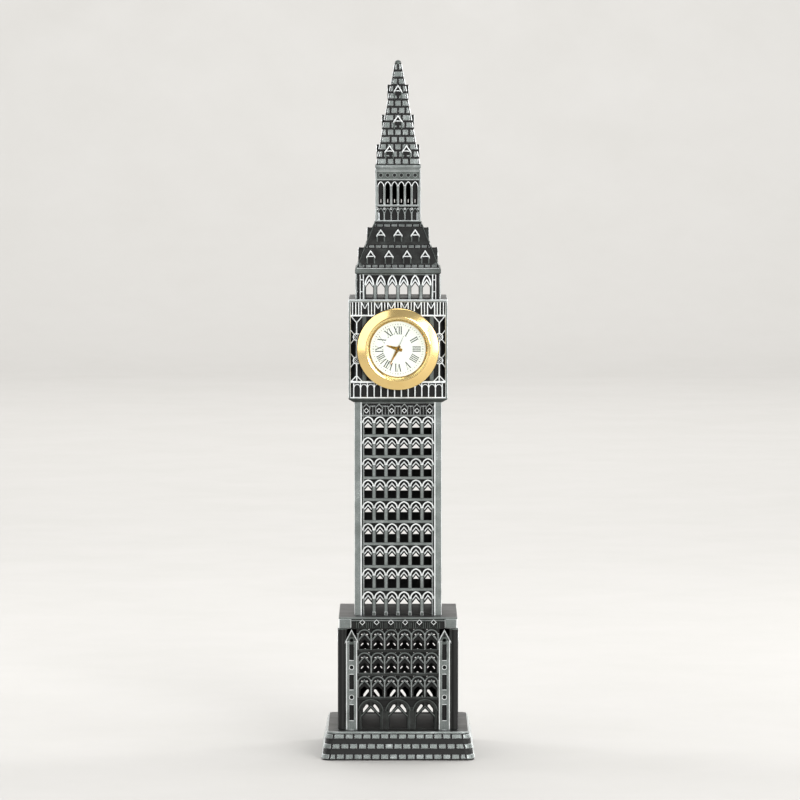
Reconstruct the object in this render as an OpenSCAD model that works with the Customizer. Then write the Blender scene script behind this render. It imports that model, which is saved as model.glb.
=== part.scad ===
// Miniature gothic clock tower: stacked openwork zinc castings with a push-in quartz clock in the front.
// Millimetres. +Z is up, the clock faces -Y, and the origin is at the middle of the underside.

/* [Base plinth] */
// Width of the plinth at the table
plinth_w = 68; // [66:0.5:70]
// Width of the plinth at its flat top
plinth_top_w = 63.2; // [62:0.2:64]
// Height of the plinth's top above the table
plinth_h = 12.5; // [12:0.5:14]
// Gap between the plinth's rim and the table, filled by the felt
felt_proud = 0.3; // [0.2:0.1:0.6]
// Thickness of the felt pad
felt_t = 1.2; // [1:0.1:1.5]

/* [Lower stage] */
// Width across the corner columns of the lower stage
podium_w = 53.2; // [52.6:0.2:54]
// Height of the lower stage's flat top above the table
podium_top = 62.6; // [62.4:0.1:63]
// Spacing of the six small windows in a row
podium_pitch = 5.93; // [5.8:0.01:6]
// Wall thickness of the castings
wall = 1.8; // [1.6:0.1:2]

/* [Shaft] */
// Width of the shaft
shaft_w = 38.6; // [38.4:0.1:39]
// Height of the shaft's top above the table
shaft_top = 157.5; // [157:0.5:158]
// Spacing of the six windows in a row
shaft_pitch = 5.3; // [5.2:0.05:5.35]
// Rows of windows
shaft_rows = 9; // [8:1:9]
// Width of one window opening
shaft_window = 3.5; // [3.2:0.1:3.6]

/* [Clock stage] */
// Width of the clock stage
stage_w = 43.8; // [43.6:0.1:44.2]
// Height of the clock stage's top above the table
stage_top = 202.8; // [202.6:0.1:203]
// Height of the clock's centre above the table
clock_z = 181.1; // [180.8:0.1:181.4]
// Radius of the bore that the clock is pushed into
bore_r = 16.5; // [16.48:0.01:16.55]

/* [Belfry and roof] */
// Width of the belfry
belfry_w = 37.7; // [37.5:0.1:37.8]
// Height of the belfry's cornice top above the table
belfry_top = 216.2; // [216:0.1:216.4]
// Spacing of the six belfry arches
belfry_pitch = 5.05; // [5:0.01:5.1]
// Width of the lower roof at its eaves
roof_w = 37; // [36.6:0.1:37.4]
// Height of the lower roof's top above the table
roof_top = 236.7; // [236.4:0.1:237]

/* [Lantern and spire] */
// Width of the lantern
lantern_w = 20.2; // [20:0.1:20.4]
// Height of the lantern's ledge top above the table
lantern_top = 261.7; // [261.4:0.1:262]
// Width of the spire at its foot
spire_w = 19.8; // [19.6:0.1:20]
// Height of the spire's tip above the table
spire_top = 308; // [306:0.5:310]

/* [Push-in clock] */
// Outer radius of the gold bezel
bezel_r = 18; // [17.8:0.1:18.1]
// Outer radius of the clock's case
case_r = 15; // [15:0.01:15.02]
// Hour hand's angle, clockwise from twelve
hour_angle = 287.5; // [0:0.5:360]
// Minute hand's angle, clockwise from twelve
minute_angle = 208; // [0:1:360]
// Second hand's angle, clockwise from twelve
second_angle = 23; // [0:1:360]

/* [Movement] */
// Radius of the movement
movement_r = 11.7; // [11.6:0.05:11.7]
// Radius of the button cell
cell_r = 3.4; // [3.3:0.05:3.4]
// Height of the button cell
cell_h = 2.6; // [2.1:0.1:2.6]

/* [Hidden] */
$fn = 48;

zinc = [0.42, 0.43, 0.42];
zinc_dark = [0.16, 0.16, 0.15];
gold = [0.85, 0.66, 0.28];
brass = [0.78, 0.62, 0.30];
steel = [0.70, 0.71, 0.72];

cut = 1;                      // how far a cutter runs past the face it cuts
plate_t = 2.2;                // thickness of the decks between stages

podium_wall_w = podium_w - 1.2;
podium_corner = 6.4;          // width of a solid corner of the lower stage
buttress_x = 20.5;
buttress_w = 4.9;
podium_rows = [[27.1, 7.6], [37.8, 7.4], [48.3, 7.2]];   // sill height and opening height of each row

shaft_post = 4.2;             // width of a solid corner post
shaft_row_step = (shaft_top - 6.4 - podium_top) / shaft_rows;
shaft_opening_h = 7.9;

corbel_h = 1.7;
collar_r = bore_r + 1.8;
collar_depth = 9.5;
crown_slot_r = bore_r + 1.1;

belfry_wall_top = belfry_top - 2.3;
belfry_post = 4.1;
roof_top_w = 20.2;
lantern_post = 3;
lantern_wall_top = lantern_top - 2.9;
spire_tip_r = 1.5;
spire_tip_w = 3.4;

// Screw circles: half the hole-to-hole spacing at each joint between castings
base_screw_at = podium_w/2 - 3.4;
shaft_screw_at = shaft_w/2 - 2.1;
belfry_screw_at = belfry_w/2 - 2.05;
roof_screw_at = 13.4;
lantern_screw_at = lantern_w/2 - 1.5;
m3 = 1.5;
m2 = 1.0;
m16 = 0.8;
thread_gap = 0.04;            // radial gap between a screw and its hole

// Heights along the clock's own axis, measured outwards from the stage's front face
crystal_z = 1.95;
dial_z = 0.2;
dial_t = 0.4;
main_plate_z = -1.7;
main_plate_t = 0.7;
bridge_z = -4.6;
bridge_t = 0.5;
stem_z = -1.35;
case_floor_z = -6;
arbor_r = 0.12;
pivot_r = 0.15;

// Wheel train: tooth modules, and the axis of each wheel seen from the front
third_module = 0.09;
centre_module = 0.085;
fourth_module = 0.11;
cannon_module = 0.1;
hour_module = 0.096;
third_dir = 60;
fifth_dir = 170;
rotor_dir = 200;
minute_dir = -40;
third_at = polar((8 + 60)*third_module/2, third_dir);
fifth_at = polar((8 + 40)*fourth_module/2, fifth_dir);
rotor_at = fifth_at + polar((6 + 36)*fourth_module/2, rotor_dir);
minute_wheel_at = polar((12 + 36)*cannon_module/2, minute_dir);
cell_at = [-4.4, -6.0];
clip_post_at = [-9.0, -2.2];
pillars = [[4.9, 4.6], [3.6, -2.9], [-7.3, 2.6]];
coil_y = 7.6;
board_posts = [[8.2, 1.0], [4.0, -8.0]];

function polar(r, a) = [r*cos(a), r*sin(a)];

// Half the width of the lower roof, and of the spire, at height z
function between(a, b, t) = a + (b - a)*t;
function roof_hw(z) = between(roof_w, roof_top_w, (z - belfry_top)/(roof_top - belfry_top))/2;
function spire_hw(z) = between(spire_w, spire_tip_w, (z - lantern_top)/(spire_top - spire_tip_r - lantern_top))/2;

// Outline of a pointed arch standing on y = 0, its two arcs struck from the opposite springing points
function arc_points(w, spring, steps) = [
  for (i = [0:steps]) [w*cos(60*i/steps) - w/2, spring + w*sin(60*i/steps)]
];
function arch_outline(w, h, steps=3) =
  let (right = arc_points(w, h - w*sin(60), steps))
  concat([[-w/2, 0], [w/2, 0]], right, [for (i = [steps-1:-1:0]) [-right[i][0], right[i][1]]]);

// ---------------------------------------------------------------- shared shapes

module on_four_faces() for (turn = [0:3]) rotate([0, 0, 90*turn]) children();

module at_corners(d) for (x = [-1, 1], y = [-1, 1]) translate([x*d, y*d, 0]) children();

// Square block between two heights
module block(w, z0, z1) translate([-w/2, -w/2, z0]) cube([w, w, z1 - z0]);

// Square block whose sides slope straight from width w0 to width w1
module taper(w0, w1, z0, z1) {
  outline = [[-w0/2, z0], [w0/2, z0], [w1/2, z1], [-w1/2, z1]];
  intersection() {
    rotate([90, 0, 0]) linear_extrude(w0 + w1, center=true) polygon(outline);
    rotate([90, 0, 90]) linear_extrude(w0 + w1, center=true) polygon(outline);
  }
}

// Stands an outline up on the front face of a stage, from depth y_in to depth y_out ahead of the middle
module stand(x, z, y_in, y_out)
  translate([x, -y_in, z]) rotate([90, 0, 0]) linear_extrude(y_out - y_in) children();

// A row of pointed openings through the front wall of a stage
module openings(count, pitch, w, h, z, face_w)
  for (i = [0:count-1])
    stand((i - (count-1)/2)*pitch, z, face_w/2 - wall - cut, face_w/2 + cut)
      polygon(arch_outline(w, h));

// Gabled outline of a dormer or a buttress head
module gable(w, eaves, apex) polygon([[-w/2, 0], [w/2, 0], [w/2, eaves], [0, apex], [-w/2, eaves]]);

// Cheese-head screw: the head hangs below z = 0 and the shank rises from it
module screw(r, length, head_r, head_h) difference() {
  union() {
    translate([0, 0, -head_h]) cylinder(r=head_r, h=head_h);
    translate([0, 0, -0.01]) cylinder(r=r, h=length);
  }
  translate([-head_r, -r*0.2, -head_h - cut]) cube([2*head_r, r*0.4, cut + head_h*0.45]);
}

// Rounded square outline
module soft_square(w, r) union() {
  square([w, w - 2*r], center=true);
  square([w - 2*r, w], center=true);
  for (x = [-1, 1], y = [-1, 1]) translate([x*(w/2 - r), y*(w/2 - r)]) circle(r=r);
}

// ---------------------------------------------------------------- tower castings

module felt_pad() color([0.13, 0.22, 0.16]) linear_extrude(felt_t) soft_square(plinth_w - 6, 3);

module base_plinth() color(zinc_dark) difference() {
  intersection() {
    taper(plinth_w, plinth_top_w, felt_proud, plinth_h);
    linear_extrude(plinth_h) soft_square(plinth_w, 4);
  }
  translate([0, 0, felt_proud - cut]) linear_extrude(cut + felt_t - felt_proud) soft_square(plinth_w - 5.8, 3.1);
  at_corners(15.2) translate([-13, -13, felt_t - 0.01]) cube([26, 26, 7]);
  at_corners(base_screw_at) cylinder(r=m3 + thread_gap, h=plinth_h + cut);
}

module base_screws() color(steel)
  at_corners(base_screw_at) translate([0, 0, felt_t + 6.99]) screw(m3, 10, 2.8, 1.9);

module podium_buttress(side) stand(side*buttress_x, plinth_h, podium_w/2 - wall, podium_w/2 + 0.2)
  gable(buttress_w, 51.8 - plinth_h, 57.3 - plinth_h);

module podium_recesses(side) for (z = [16.7, 30.4, 43.5])
  stand(side*buttress_x, z, podium_w/2 - 0.5, podium_w/2 + cut) {
    translate([-1.05, 0]) square([2.1, 7]);
  }

module lower_stage() color(zinc_dark) difference() {
  union() {
    difference() {
      block(podium_wall_w, plinth_h, podium_top);
      block(podium_wall_w - 2*wall, plinth_h - cut, podium_top - plate_t);
    }
    at_corners(podium_wall_w/2 - podium_corner/2)
      translate([-podium_corner/2, -podium_corner/2, plinth_h]) cube([podium_corner, podium_corner, 48]);
    at_corners(podium_w/2 - 1.8) translate([0, 0, plinth_h]) cylinder(r=1.8, h=45);
    on_four_faces() for (side = [-1, 1]) podium_buttress(side);
  }
  on_four_faces() {
    for (row = podium_rows) openings(6, podium_pitch, 3.9, row[1], row[0], podium_w);
    for (x = [-12, 0, 12]) stand(x, plinth_h - cut, podium_w/2 - wall - 2, podium_w/2 + cut)
      polygon(arch_outline(x == 0 ? 8.4 : 7.8, cut + 13.2, 5));
    for (side = [-1, 1]) podium_recesses(side);
  }
  block(27, podium_top - plate_t - cut, podium_top + cut);
  at_corners(shaft_screw_at) translate([0, 0, podium_top - plate_t - cut])
    cylinder(r=m2 + 0.1, h=plate_t + 2*cut);
  at_corners(base_screw_at) translate([0, 0, plinth_h - cut]) cylinder(r=m3 + thread_gap, h=cut + 8);
}

module shaft() color(zinc) difference() {
  union() {
    difference() {
      block(shaft_w, podium_top, shaft_top);
      block(shaft_w - 2*wall, podium_top - cut, shaft_top + cut);
    }
    at_corners(shaft_w/2 - shaft_post/2) translate([-shaft_post/2, -shaft_post/2, podium_top])
      cube([shaft_post, shaft_post, shaft_top - podium_top]);
  }
  on_four_faces() for (row = [0:shaft_rows-1])
    openings(6, shaft_pitch, shaft_window, shaft_opening_h, podium_top + 1 + row*shaft_row_step, shaft_w);
  at_corners(shaft_screw_at) {
    translate([0, 0, podium_top - cut]) cylinder(r=m2 + thread_gap, h=cut + 8);
    translate([0, 0, shaft_top - 8]) cylinder(r=m2 + thread_gap, h=cut + 8);
  }
}

module shaft_screws() color(steel)
  at_corners(shaft_screw_at) translate([0, 0, podium_top - plate_t]) screw(m2, 9, 1.9, 1.5);

// Blind dial cast on the three faces that hold no clock
module blind_dial() translate([0, -stage_w/2 + 0.02, clock_z]) rotate([90, 0, 0]) difference() {
  cylinder(r=14.6, h=0.7);
  translate([0, 0, 0.3]) cylinder(r=12.8, h=cut);
}

module clock_stage() color(zinc) difference() {
  union() {
    difference() {
      union() {
        taper(shaft_w + 0.6, stage_w, shaft_top, shaft_top + corbel_h);
        block(stage_w, shaft_top + corbel_h, stage_top);
      }
      block(stage_w - 2*wall, shaft_top + corbel_h + 1, stage_top - plate_t);
    }
    for (turn = [1:3]) rotate([0, 0, 90*turn]) blind_dial();
    translate([0, -stage_w/2 + collar_depth, clock_z]) rotate([90, 0, 0])
      cylinder(r=collar_r, h=collar_depth - 0.5);
  }
  translate([0, -stage_w/2 + collar_depth + cut, clock_z]) rotate([90, 0, 0])
    cylinder(r=bore_r, h=collar_depth + 2*cut);
  translate([0, -stage_w/2 - cut, clock_z - 1.6]) cube([crown_slot_r, cut + 4, 3.2]);
  translate([0, 0, shaft_top - cut]) cylinder(r=9, h=6);
  translate([0, 0, stage_top - plate_t - cut]) cylinder(r=9, h=plate_t + 2*cut);
  at_corners(shaft_screw_at) translate([0, 0, shaft_top - cut]) cylinder(r=m2 + 0.1, h=5);
  at_corners(belfry_screw_at) translate([0, 0, stage_top - plate_t - cut])
    cylinder(r=m2 + 0.1, h=plate_t + 2*cut);
}

module stage_screws() color(steel) at_corners(shaft_screw_at)
  translate([0, 0, shaft_top + corbel_h + 1]) mirror([0, 0, 1]) screw(m2, 9, 1.9, 1.5);

module belfry() color(zinc) difference() {
  union() {
    difference() {
      block(belfry_w, stage_top, belfry_wall_top);
      block(belfry_w - 2*wall, stage_top - cut, belfry_wall_top + cut);
    }
    at_corners(belfry_w/2 - belfry_post/2) translate([-belfry_post/2, -belfry_post/2, stage_top])
      cube([belfry_post, belfry_post, belfry_wall_top - stage_top]);
    block(belfry_w + 0.1, belfry_wall_top, belfry_top);
  }
  on_four_faces() openings(6, belfry_pitch, 3.5, 10.2, stage_top - 0.1, belfry_w);
  block(20, belfry_wall_top - cut, belfry_top + cut);
  at_corners(belfry_screw_at) translate([0, 0, stage_top - cut]) cylinder(r=m2 + thread_gap, h=cut + 7);
  at_corners(roof_screw_at) translate([0, 0, belfry_wall_top - cut]) cylinder(r=m2 + 0.1, h=6);
}

module belfry_screws() color(steel)
  at_corners(belfry_screw_at) translate([0, 0, stage_top - plate_t]) screw(m2, 8, 1.9, 1.5);

module lower_roof() color(zinc_dark) difference() {
  union() {
    taper(roof_w, roof_top_w, belfry_top, roof_top);
    on_four_faces() {
      for (x = [-12, -4, 4, 12]) stand(x, 218.4, 12, roof_hw(218.4)) gable(3.7, 3.4, 6);
      for (x = [-7.6, 0, 7.6]) stand(x, 228, 9, roof_hw(228)) gable(3.7, 3.2, 5.6);
    }
  }
  difference() {
    taper(roof_w - 3.6, roof_top_w - 2.6, belfry_top - 0.01, roof_top - 2);
    at_corners(roof_screw_at) translate([0, 0, belfry_top - cut]) cylinder(r=2.2, h=8);
  }
  translate([0, 0, roof_top - 4]) cylinder(r=5, h=5);
  at_corners(roof_screw_at) translate([0, 0, belfry_top - cut]) cylinder(r=m2 + thread_gap, h=cut + 4.2);
  at_corners(lantern_screw_at) translate([0, 0, roof_top - 5]) {
    cylinder(r=m16 + 0.05, h=6);
    cylinder(r=1.3, h=3);
  }
}

module roof_screws() color(steel)
  at_corners(roof_screw_at) translate([0, 0, belfry_wall_top]) screw(m2, 5.5, 1.8, 1.2);

module lantern() color(zinc) difference() {
  union() {
    difference() {
      block(lantern_w, roof_top, lantern_wall_top);
      block(lantern_w - 2*wall + 0.8, roof_top - cut, lantern_wall_top + cut);
    }
    at_corners(lantern_w/2 - lantern_post/2) translate([-lantern_post/2, -lantern_post/2, roof_top])
      cube([lantern_post, lantern_post, lantern_wall_top - roof_top]);
    block(lantern_w, lantern_wall_top, lantern_top);
  }
  on_four_faces() openings(6, 3.03, 2.2, 9.9, 244.2, lantern_w);
  at_corners(lantern_screw_at) translate([0, 0, roof_top - cut]) cylinder(r=m16 + thread_gap, h=cut + 5);
  translate([0, 0, lantern_wall_top - cut]) cylinder(r=m3 + 0.1, h=6);
}

module lantern_screws() color(steel)
  at_corners(lantern_screw_at) translate([0, 0, roof_top - 2]) screw(m16, 6, 1.25, 0.9);

module spire() color(zinc_dark) difference() {
  union() {
    taper(spire_w, spire_tip_w, lantern_top, spire_top - spire_tip_r);
    translate([0, 0, spire_top - spire_tip_r]) sphere(r=spire_tip_r);
    on_four_faces() {
      for (x = [-3.75, 3.75]) stand(x, 264.4, 6, spire_hw(264.4)) gable(3.9, 3.6, 6.2);
      stand(0, 277.4, 4, spire_hw(277.4)) gable(3.9, 3.8, 6.4);
      stand(0, 290.6, 2, spire_hw(290.6)) gable(3.6, 3.9, 6.5);
    }
  }
  difference() {
    taper(spire_w - 3, 6, lantern_top - 0.01, 288);
    translate([0, 0, lantern_top - cut]) cylinder(r=3, h=30);
  }
  translate([0, 0, lantern_top - cut]) cylinder(r=m3 + thread_gap, h=cut + 12);
}

module spire_screw() color(steel)
  translate([0, 0, lantern_wall_top]) screw(m3, 12, 2.8, 1.8);

// ---------------------------------------------------------------- push-in clock

// Places a clock part: +Z of the part points out of the dial, +Y points up the tower
module in_clock() translate([0, -stage_w/2, clock_z]) rotate([90, 0, 0]) children();

module ring(r_in, r_out, z0, z1) translate([0, 0, z0]) difference() {
  cylinder(r=r_out, h=z1 - z0);
  translate([0, 0, -cut]) cylinder(r=r_in, h=z1 - z0 + 2*cut);
}

module disc(r, z0, z1) translate([0, 0, z0]) cylinder(r=r, h=z1 - z0);

// A rod along +X at the stem's height
module along_stem(r, x0, x1) translate([x0, 0, stem_z]) rotate([0, 90, 0]) cylinder(r=r, h=x1 - x0);

module bezel() color(gold) in_clock() rotate_extrude() polygon([
  [case_r + 0.02, 0.05], [bezel_r, 0.05], [bezel_r, 2.4], [bezel_r - 0.5, 2.8], [14.4, 4.0], [13.7, 4.0],
  [13.6, 3.8], [13.6, 2.95], [14.52, 2.95], [14.52, 1.65], [case_r + 0.02, 1.65]
]);

module crystal() color([0.85, 0.9, 0.95, 0.35]) in_clock() disc(14, crystal_z, crystal_z + 0.9);

module crystal_gasket() color([0.9, 0.9, 0.88]) in_clock() ring(14.01, 14.5, crystal_z - 0.05, crystal_z + 0.95);

module reflector_ring() color(gold) in_clock() rotate_extrude() polygon([
  [12.2, dial_z + dial_t + 0.02], [13.9, dial_z + dial_t + 0.02], [13.9, 1.85], [13.35, 1.85]
]);

module dial() color([0.95, 0.95, 0.94]) in_clock() union() {
  ring(0.9, 13.8, dial_z, dial_z + dial_t);
  for (x = [-7.6, 7.6]) translate([x, -5.5, 0]) disc(0.3, -0.95, dial_z + 0.1);
}

module case_body() color([0.12, 0.12, 0.12]) in_clock() difference() {
  ring(14, case_r, case_floor_z, 1.6);
  along_stem(0.36, 13, 16);
}

module case_back() color(steel) in_clock() union() {
  disc(case_r, case_floor_z - 1, case_floor_z - 0.01);
  ring(13.2, 13.9, case_floor_z - 0.1, -4.55);
}

module grip_ring() color([0.8, 0.8, 0.76]) in_clock() difference() {
  union() {
    ring(case_r + 0.01, 15.8, -6.6, -0.2);
    for (z = [-6.2, -4.2, -2.2]) ring(15.5, bore_r - 0.06, z, z + 0.7);
  }
  translate([14, -1.6, stem_z - 1.6]) cube([4, 3.2, 4]);
}

module movement_holder() color([0.9, 0.9, 0.86]) in_clock() difference() {
  ring(movement_r + 0.05, 13.95, -4.5, dial_z - 0.02);
  along_stem(0.5, 11, 15);
}

module main_plate() color(brass) in_clock() difference() {
  union() {
    disc(movement_r, main_plate_z, main_plate_z + main_plate_t);
    ring(11, movement_r, -4.1, main_plate_z + 0.1);
    for (p = pillars) translate([p[0], p[1], 0]) disc(0.6, -4.1, main_plate_z + 0.1);
    translate([clip_post_at[0], clip_post_at[1], 0]) disc(0.6, -4.5, main_plate_z + 0.1);
    for (p = board_posts) translate([p[0], p[1], 0]) disc(0.4, -3.69, main_plate_z + 0.1);
    translate([minute_wheel_at[0], minute_wheel_at[1], 0]) disc(0.25, -1.1, -0.1);
  }
  disc(0.42, -3, 0);
  for (p = [third_at, fifth_at, rotor_at]) translate([p[0], p[1], 0]) disc(pivot_r, -2, -1.25);
  for (p = concat(pillars, [clip_post_at])) translate([p[0], p[1], 0]) disc(0.32, -4.6, -2.9);
  for (x = [-7.6, 7.6]) translate([x, -5.5, 0]) disc(0.34, -2, 0);
  translate([-4.5, coil_y - 1.3, -2]) cube([9, 2.6, 2]);
  translate([4, -0.4, -2]) cube([9, 0.8, 2]);
}

module train_bridge() color(brass) in_clock() difference() {
  union() {
    translate([0, 0, bridge_z]) linear_extrude(bridge_t)
      polygon([[-8.2, 2.0], [-8.2, 3.4], [4.4, 5.6], [5.8, 4.9], [4.6, -3.2], [3.4, -3.8], [-3, -3], [-6.4, -2]]);
    for (p = pillars) translate([p[0], p[1], 0]) disc(1.0, bridge_z, bridge_z + bridge_t);
  }
  for (p = [[0, 0], third_at, fifth_at, rotor_at]) translate([p[0], p[1], 0]) disc(pivot_r, bridge_z - cut, -4);
  for (p = pillars) translate([p[0], p[1], 0]) disc(0.34, bridge_z - cut, -4);
  translate([cell_at[0], cell_at[1], 0]) disc(cell_r + 0.2, bridge_z - cut, -4);
}

module bridge_screws() color(steel) in_clock() {
  for (p = pillars) translate([p[0], p[1], bridge_z]) screw(0.3, 1.6, 0.6, 0.3);
  translate([clip_post_at[0], clip_post_at[1], -4.71]) screw(0.3, 1.7, 0.6, 0.3);
}

// Flat pole plate: a ring round the rotor and two arms that reach the coil core's ends
module stator() color([0.62, 0.62, 0.6]) in_clock() translate([0, 0, -3.2]) linear_extrude(0.5)
  difference() {
    union() {
      translate(rotor_at) circle(r=1.65);
      translate([-6.4, -0.3]) square([1.2, 8.4]);
      translate([-4.2, 0.4]) square([0.8, 6]);
      translate([-4.2, 5.6]) square([10.3, 0.8]);
      translate([4.9, 5.6]) square([1.2, 2.5]);
    }
    translate(rotor_at) circle(r=1.15);
  }

module coil_core() color([0.62, 0.62, 0.6]) in_clock()
  translate([-6.4, coil_y - 0.5, -2.69]) cube([12.5, 1, 0.5]);

module coil() color([0.72, 0.40, 0.20]) in_clock() difference() {
  union() {
    translate([-4, coil_y, -2.44]) rotate([0, 90, 0]) cylinder(r=1.0, h=8);
    for (x = [-4.2, 3.8]) translate([x, coil_y, -2.44]) rotate([0, 90, 0]) cylinder(r=1.2, h=0.4);
  }
  translate([-5, coil_y - 0.52, -2.71]) cube([10, 1.04, 0.54]);
}

module circuit_board() color([0.10, 0.35, 0.16]) in_clock() union() {
  translate([0, 0, -4]) linear_extrude(0.3) intersection() {
    difference() {
      circle(r=10.7);
      circle(r=6.3);
    }
    polygon([[0, 0], polar(18, -75), polar(18, -25), polar(18, 25)]);
  }
  color([0.05, 0.05, 0.05]) translate([7.4, -3.6, -4.6]) cube([2.2, 2.2, 0.61]);
}

module quartz_can() color(steel) in_clock()
  translate([3.6, -6.9, -4.76]) rotate([0, 0, 28]) rotate([0, 90, 0]) cylinder(r=0.75, h=4);

module battery() color(steel) in_clock() translate([cell_at[0], cell_at[1], 0]) union() {
  disc(cell_r, -4.5, -4.5 + cell_h - 0.3);
  disc(cell_r - 0.5, -4.5 + cell_h - 0.31, -4.5 + cell_h);
}

module battery_clip() color(steel) in_clock() difference() {
  translate([0, 0, -4.7]) linear_extrude(0.19) union() {
    translate(clip_post_at) circle(r=0.9);
    polygon([[-9.7, -2.8], [-5.2, -7.4], [-3.8, -6.2], [-8.3, -1.6]]);
  }
  translate([clip_post_at[0], clip_post_at[1], 0]) disc(0.34, -5, -4);
}

// ---------------------------------------------------------------- hands, wheels and setting stem

// Spur wheel outline: straight-sided teeth, thin enough to run with backlash
module toothed(teeth, module_mm) {
  pitch_r = teeth*module_mm/2;
  step = 360/teeth;
  polygon([for (i = [0:teeth-1], k = [0:3])
    polar(pitch_r + [-1.2, 0.9, 0.9, -1.2][k]*module_mm, step*(i + [-0.25, -0.11, 0.11, 0.25][k]))]);
}

// A wheel set so that a tooth points in direction dir, or, when driven, so that a gap points back along dir
module wheel(teeth, module_mm, z0, z1, bore, dir, driven=false)
  translate([0, 0, z0]) rotate([0, 0, driven ? dir + 180 - 180/teeth : dir]) linear_extrude(z1 - z0)
    difference() {
      toothed(teeth, module_mm);
      circle(r=bore);
    }

// Tapered hand from the hub to the tip, with a short tail and a round eye on its pipe
module hand_outline(length, w, tail, eye_r, pipe_r, angle) rotate([0, 0, -angle]) difference() {
  union() {
    polygon([[-w*0.28, -tail], [w*0.28, -tail], [w*0.5, length*0.28], [0, length], [-w*0.5, length*0.28]]);
    circle(r=eye_r);
  }
  circle(r=pipe_r);
}

module hour_hand() color(gold) in_clock() translate([0, 0, 0.85]) linear_extrude(0.14)
  hand_outline(5.5, 0.95, 0.5, 1.15, 0.81, hour_angle);

module minute_hand() color(gold) in_clock() translate([0, 0, 1.2]) linear_extrude(0.14)
  hand_outline(7.8, 0.8, 0.6, 0.85, 0.48, minute_angle);

module second_hand() color([0.2, 0.17, 0.12]) in_clock() translate([0, 0, 1.56]) linear_extrude(0.1)
  hand_outline(6.8, 0.2, 2.2, 0.4, arbor_r + 0.01, second_angle);

module hour_wheel() color(brass) in_clock() union() {
  wheel(40, hour_module, -0.35, -0.1, 0.57, minute_dir);
  ring(0.57, 0.8, -0.45, 1.02);
}

module cannon_pinion() color(steel) in_clock() union() {
  wheel(12, cannon_module, -0.95, -0.5, 0.36, minute_dir);
  ring(0.36, 0.47, -0.51, 1.38);
}

module centre_wheel() color(brass) in_clock() union() {
  wheel(64, centre_module, -2.1, -1.85, 0.34, third_dir);
  ring(0.2, 0.35, -2.2, 0.9);
}

module minute_wheel() color(brass) in_clock() translate([minute_wheel_at[0], minute_wheel_at[1], 0]) union() {
  wheel(36, cannon_module, -0.9, -0.6, 0.28, minute_dir, true);
  wheel(10, hour_module, -0.61, -0.08, 0.28, minute_dir, true);
}

module fourth_wheel() color(brass) in_clock() union() {
  wheel(40, fourth_module, -3.25, -3.0, 0.1, fifth_dir);
  wheel(8, third_module, -2.85, -2.4, 0.1, third_dir);
  disc(0.25, -3.4, -2.5);
  disc(arbor_r, -4.4, 1.7);
}

module third_wheel() color(brass) in_clock() translate([third_at[0], third_at[1], 0]) union() {
  wheel(60, third_module, -2.75, -2.5, 0.1, third_dir, true);
  wheel(8, centre_module, -2.3, -1.8, 0.1, third_dir, true);
  disc(0.22, -2.9, -1.9);
  disc(arbor_r, -4.4, -1.3);
}

module fifth_wheel() color(brass) in_clock() translate([fifth_at[0], fifth_at[1], 0]) union() {
  wheel(36, fourth_module, -3.75, -3.5, 0.1, rotor_dir);
  wheel(8, fourth_module, -3.35, -2.9, 0.1, fifth_dir, true);
  disc(0.25, -3.85, -2.8);
  disc(arbor_r, -4.4, -1.3);
}

module rotor() color([0.3, 0.3, 0.32]) in_clock() translate([rotor_at[0], rotor_at[1], 0]) union() {
  wheel(6, fourth_module, -3.9, -3.4, 0.1, rotor_dir, true);
  disc(1.0, -3.3, -2.5);
  disc(0.18, -3.95, -2.4);
  disc(arbor_r, -4.4, -1.3);
}

module stem() color(steel) in_clock() along_stem(0.3, 4.4, 15.5);

// Ribbed crown, its flutes cut as a ring of small rods
module crown() color(gold) in_clock() difference() {
  along_stem(1.15, 15.06, 16.25);
  for (i = [0:17]) translate([15, 1.22*cos(20*i), stem_z + 1.22*sin(20*i)]) rotate([0, 90, 0])
    cylinder(r=0.13, h=2);
  along_stem(0.31, 14, 15.52);
}

felt_pad();
base_plinth();
base_screws();
lower_stage();
shaft();
shaft_screws();
clock_stage();
stage_screws();
belfry();
belfry_screws();
lower_roof();
roof_screws();
lantern();
lantern_screws();
spire();
spire_screw();
bezel();
crystal();
crystal_gasket();
reflector_ring();
dial();
case_body();
case_back();
grip_ring();
movement_holder();
main_plate();
train_bridge();
bridge_screws();
stator();
coil();
coil_core();
circuit_board();
quartz_can();
battery();
battery_clip();
hour_wheel();
hour_hand();
cannon_pinion();
centre_wheel();
minute_hand();
minute_wheel();
fourth_wheel();
second_hand();
third_wheel();
fifth_wheel();
rotor();
stem();
crown();
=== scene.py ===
"""Looks of a cast zinc clock tower with a push-in quartz clock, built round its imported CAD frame.

Every casting is drawn in millimetres, one face at a time, as raised tracery on a sunk ground, and turned
onto the four sides. Each face of the mesh keeps how far it has been rubbed bright, and the antique finish
reads that: black patina in the hollows, bare grey metal on the ridges.
"""

import logging
import math
from dataclasses import dataclass
from enum import Enum
from typing import Iterable, Sequence

import bmesh
import bpy
from mathutils import Matrix, Vector


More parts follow.
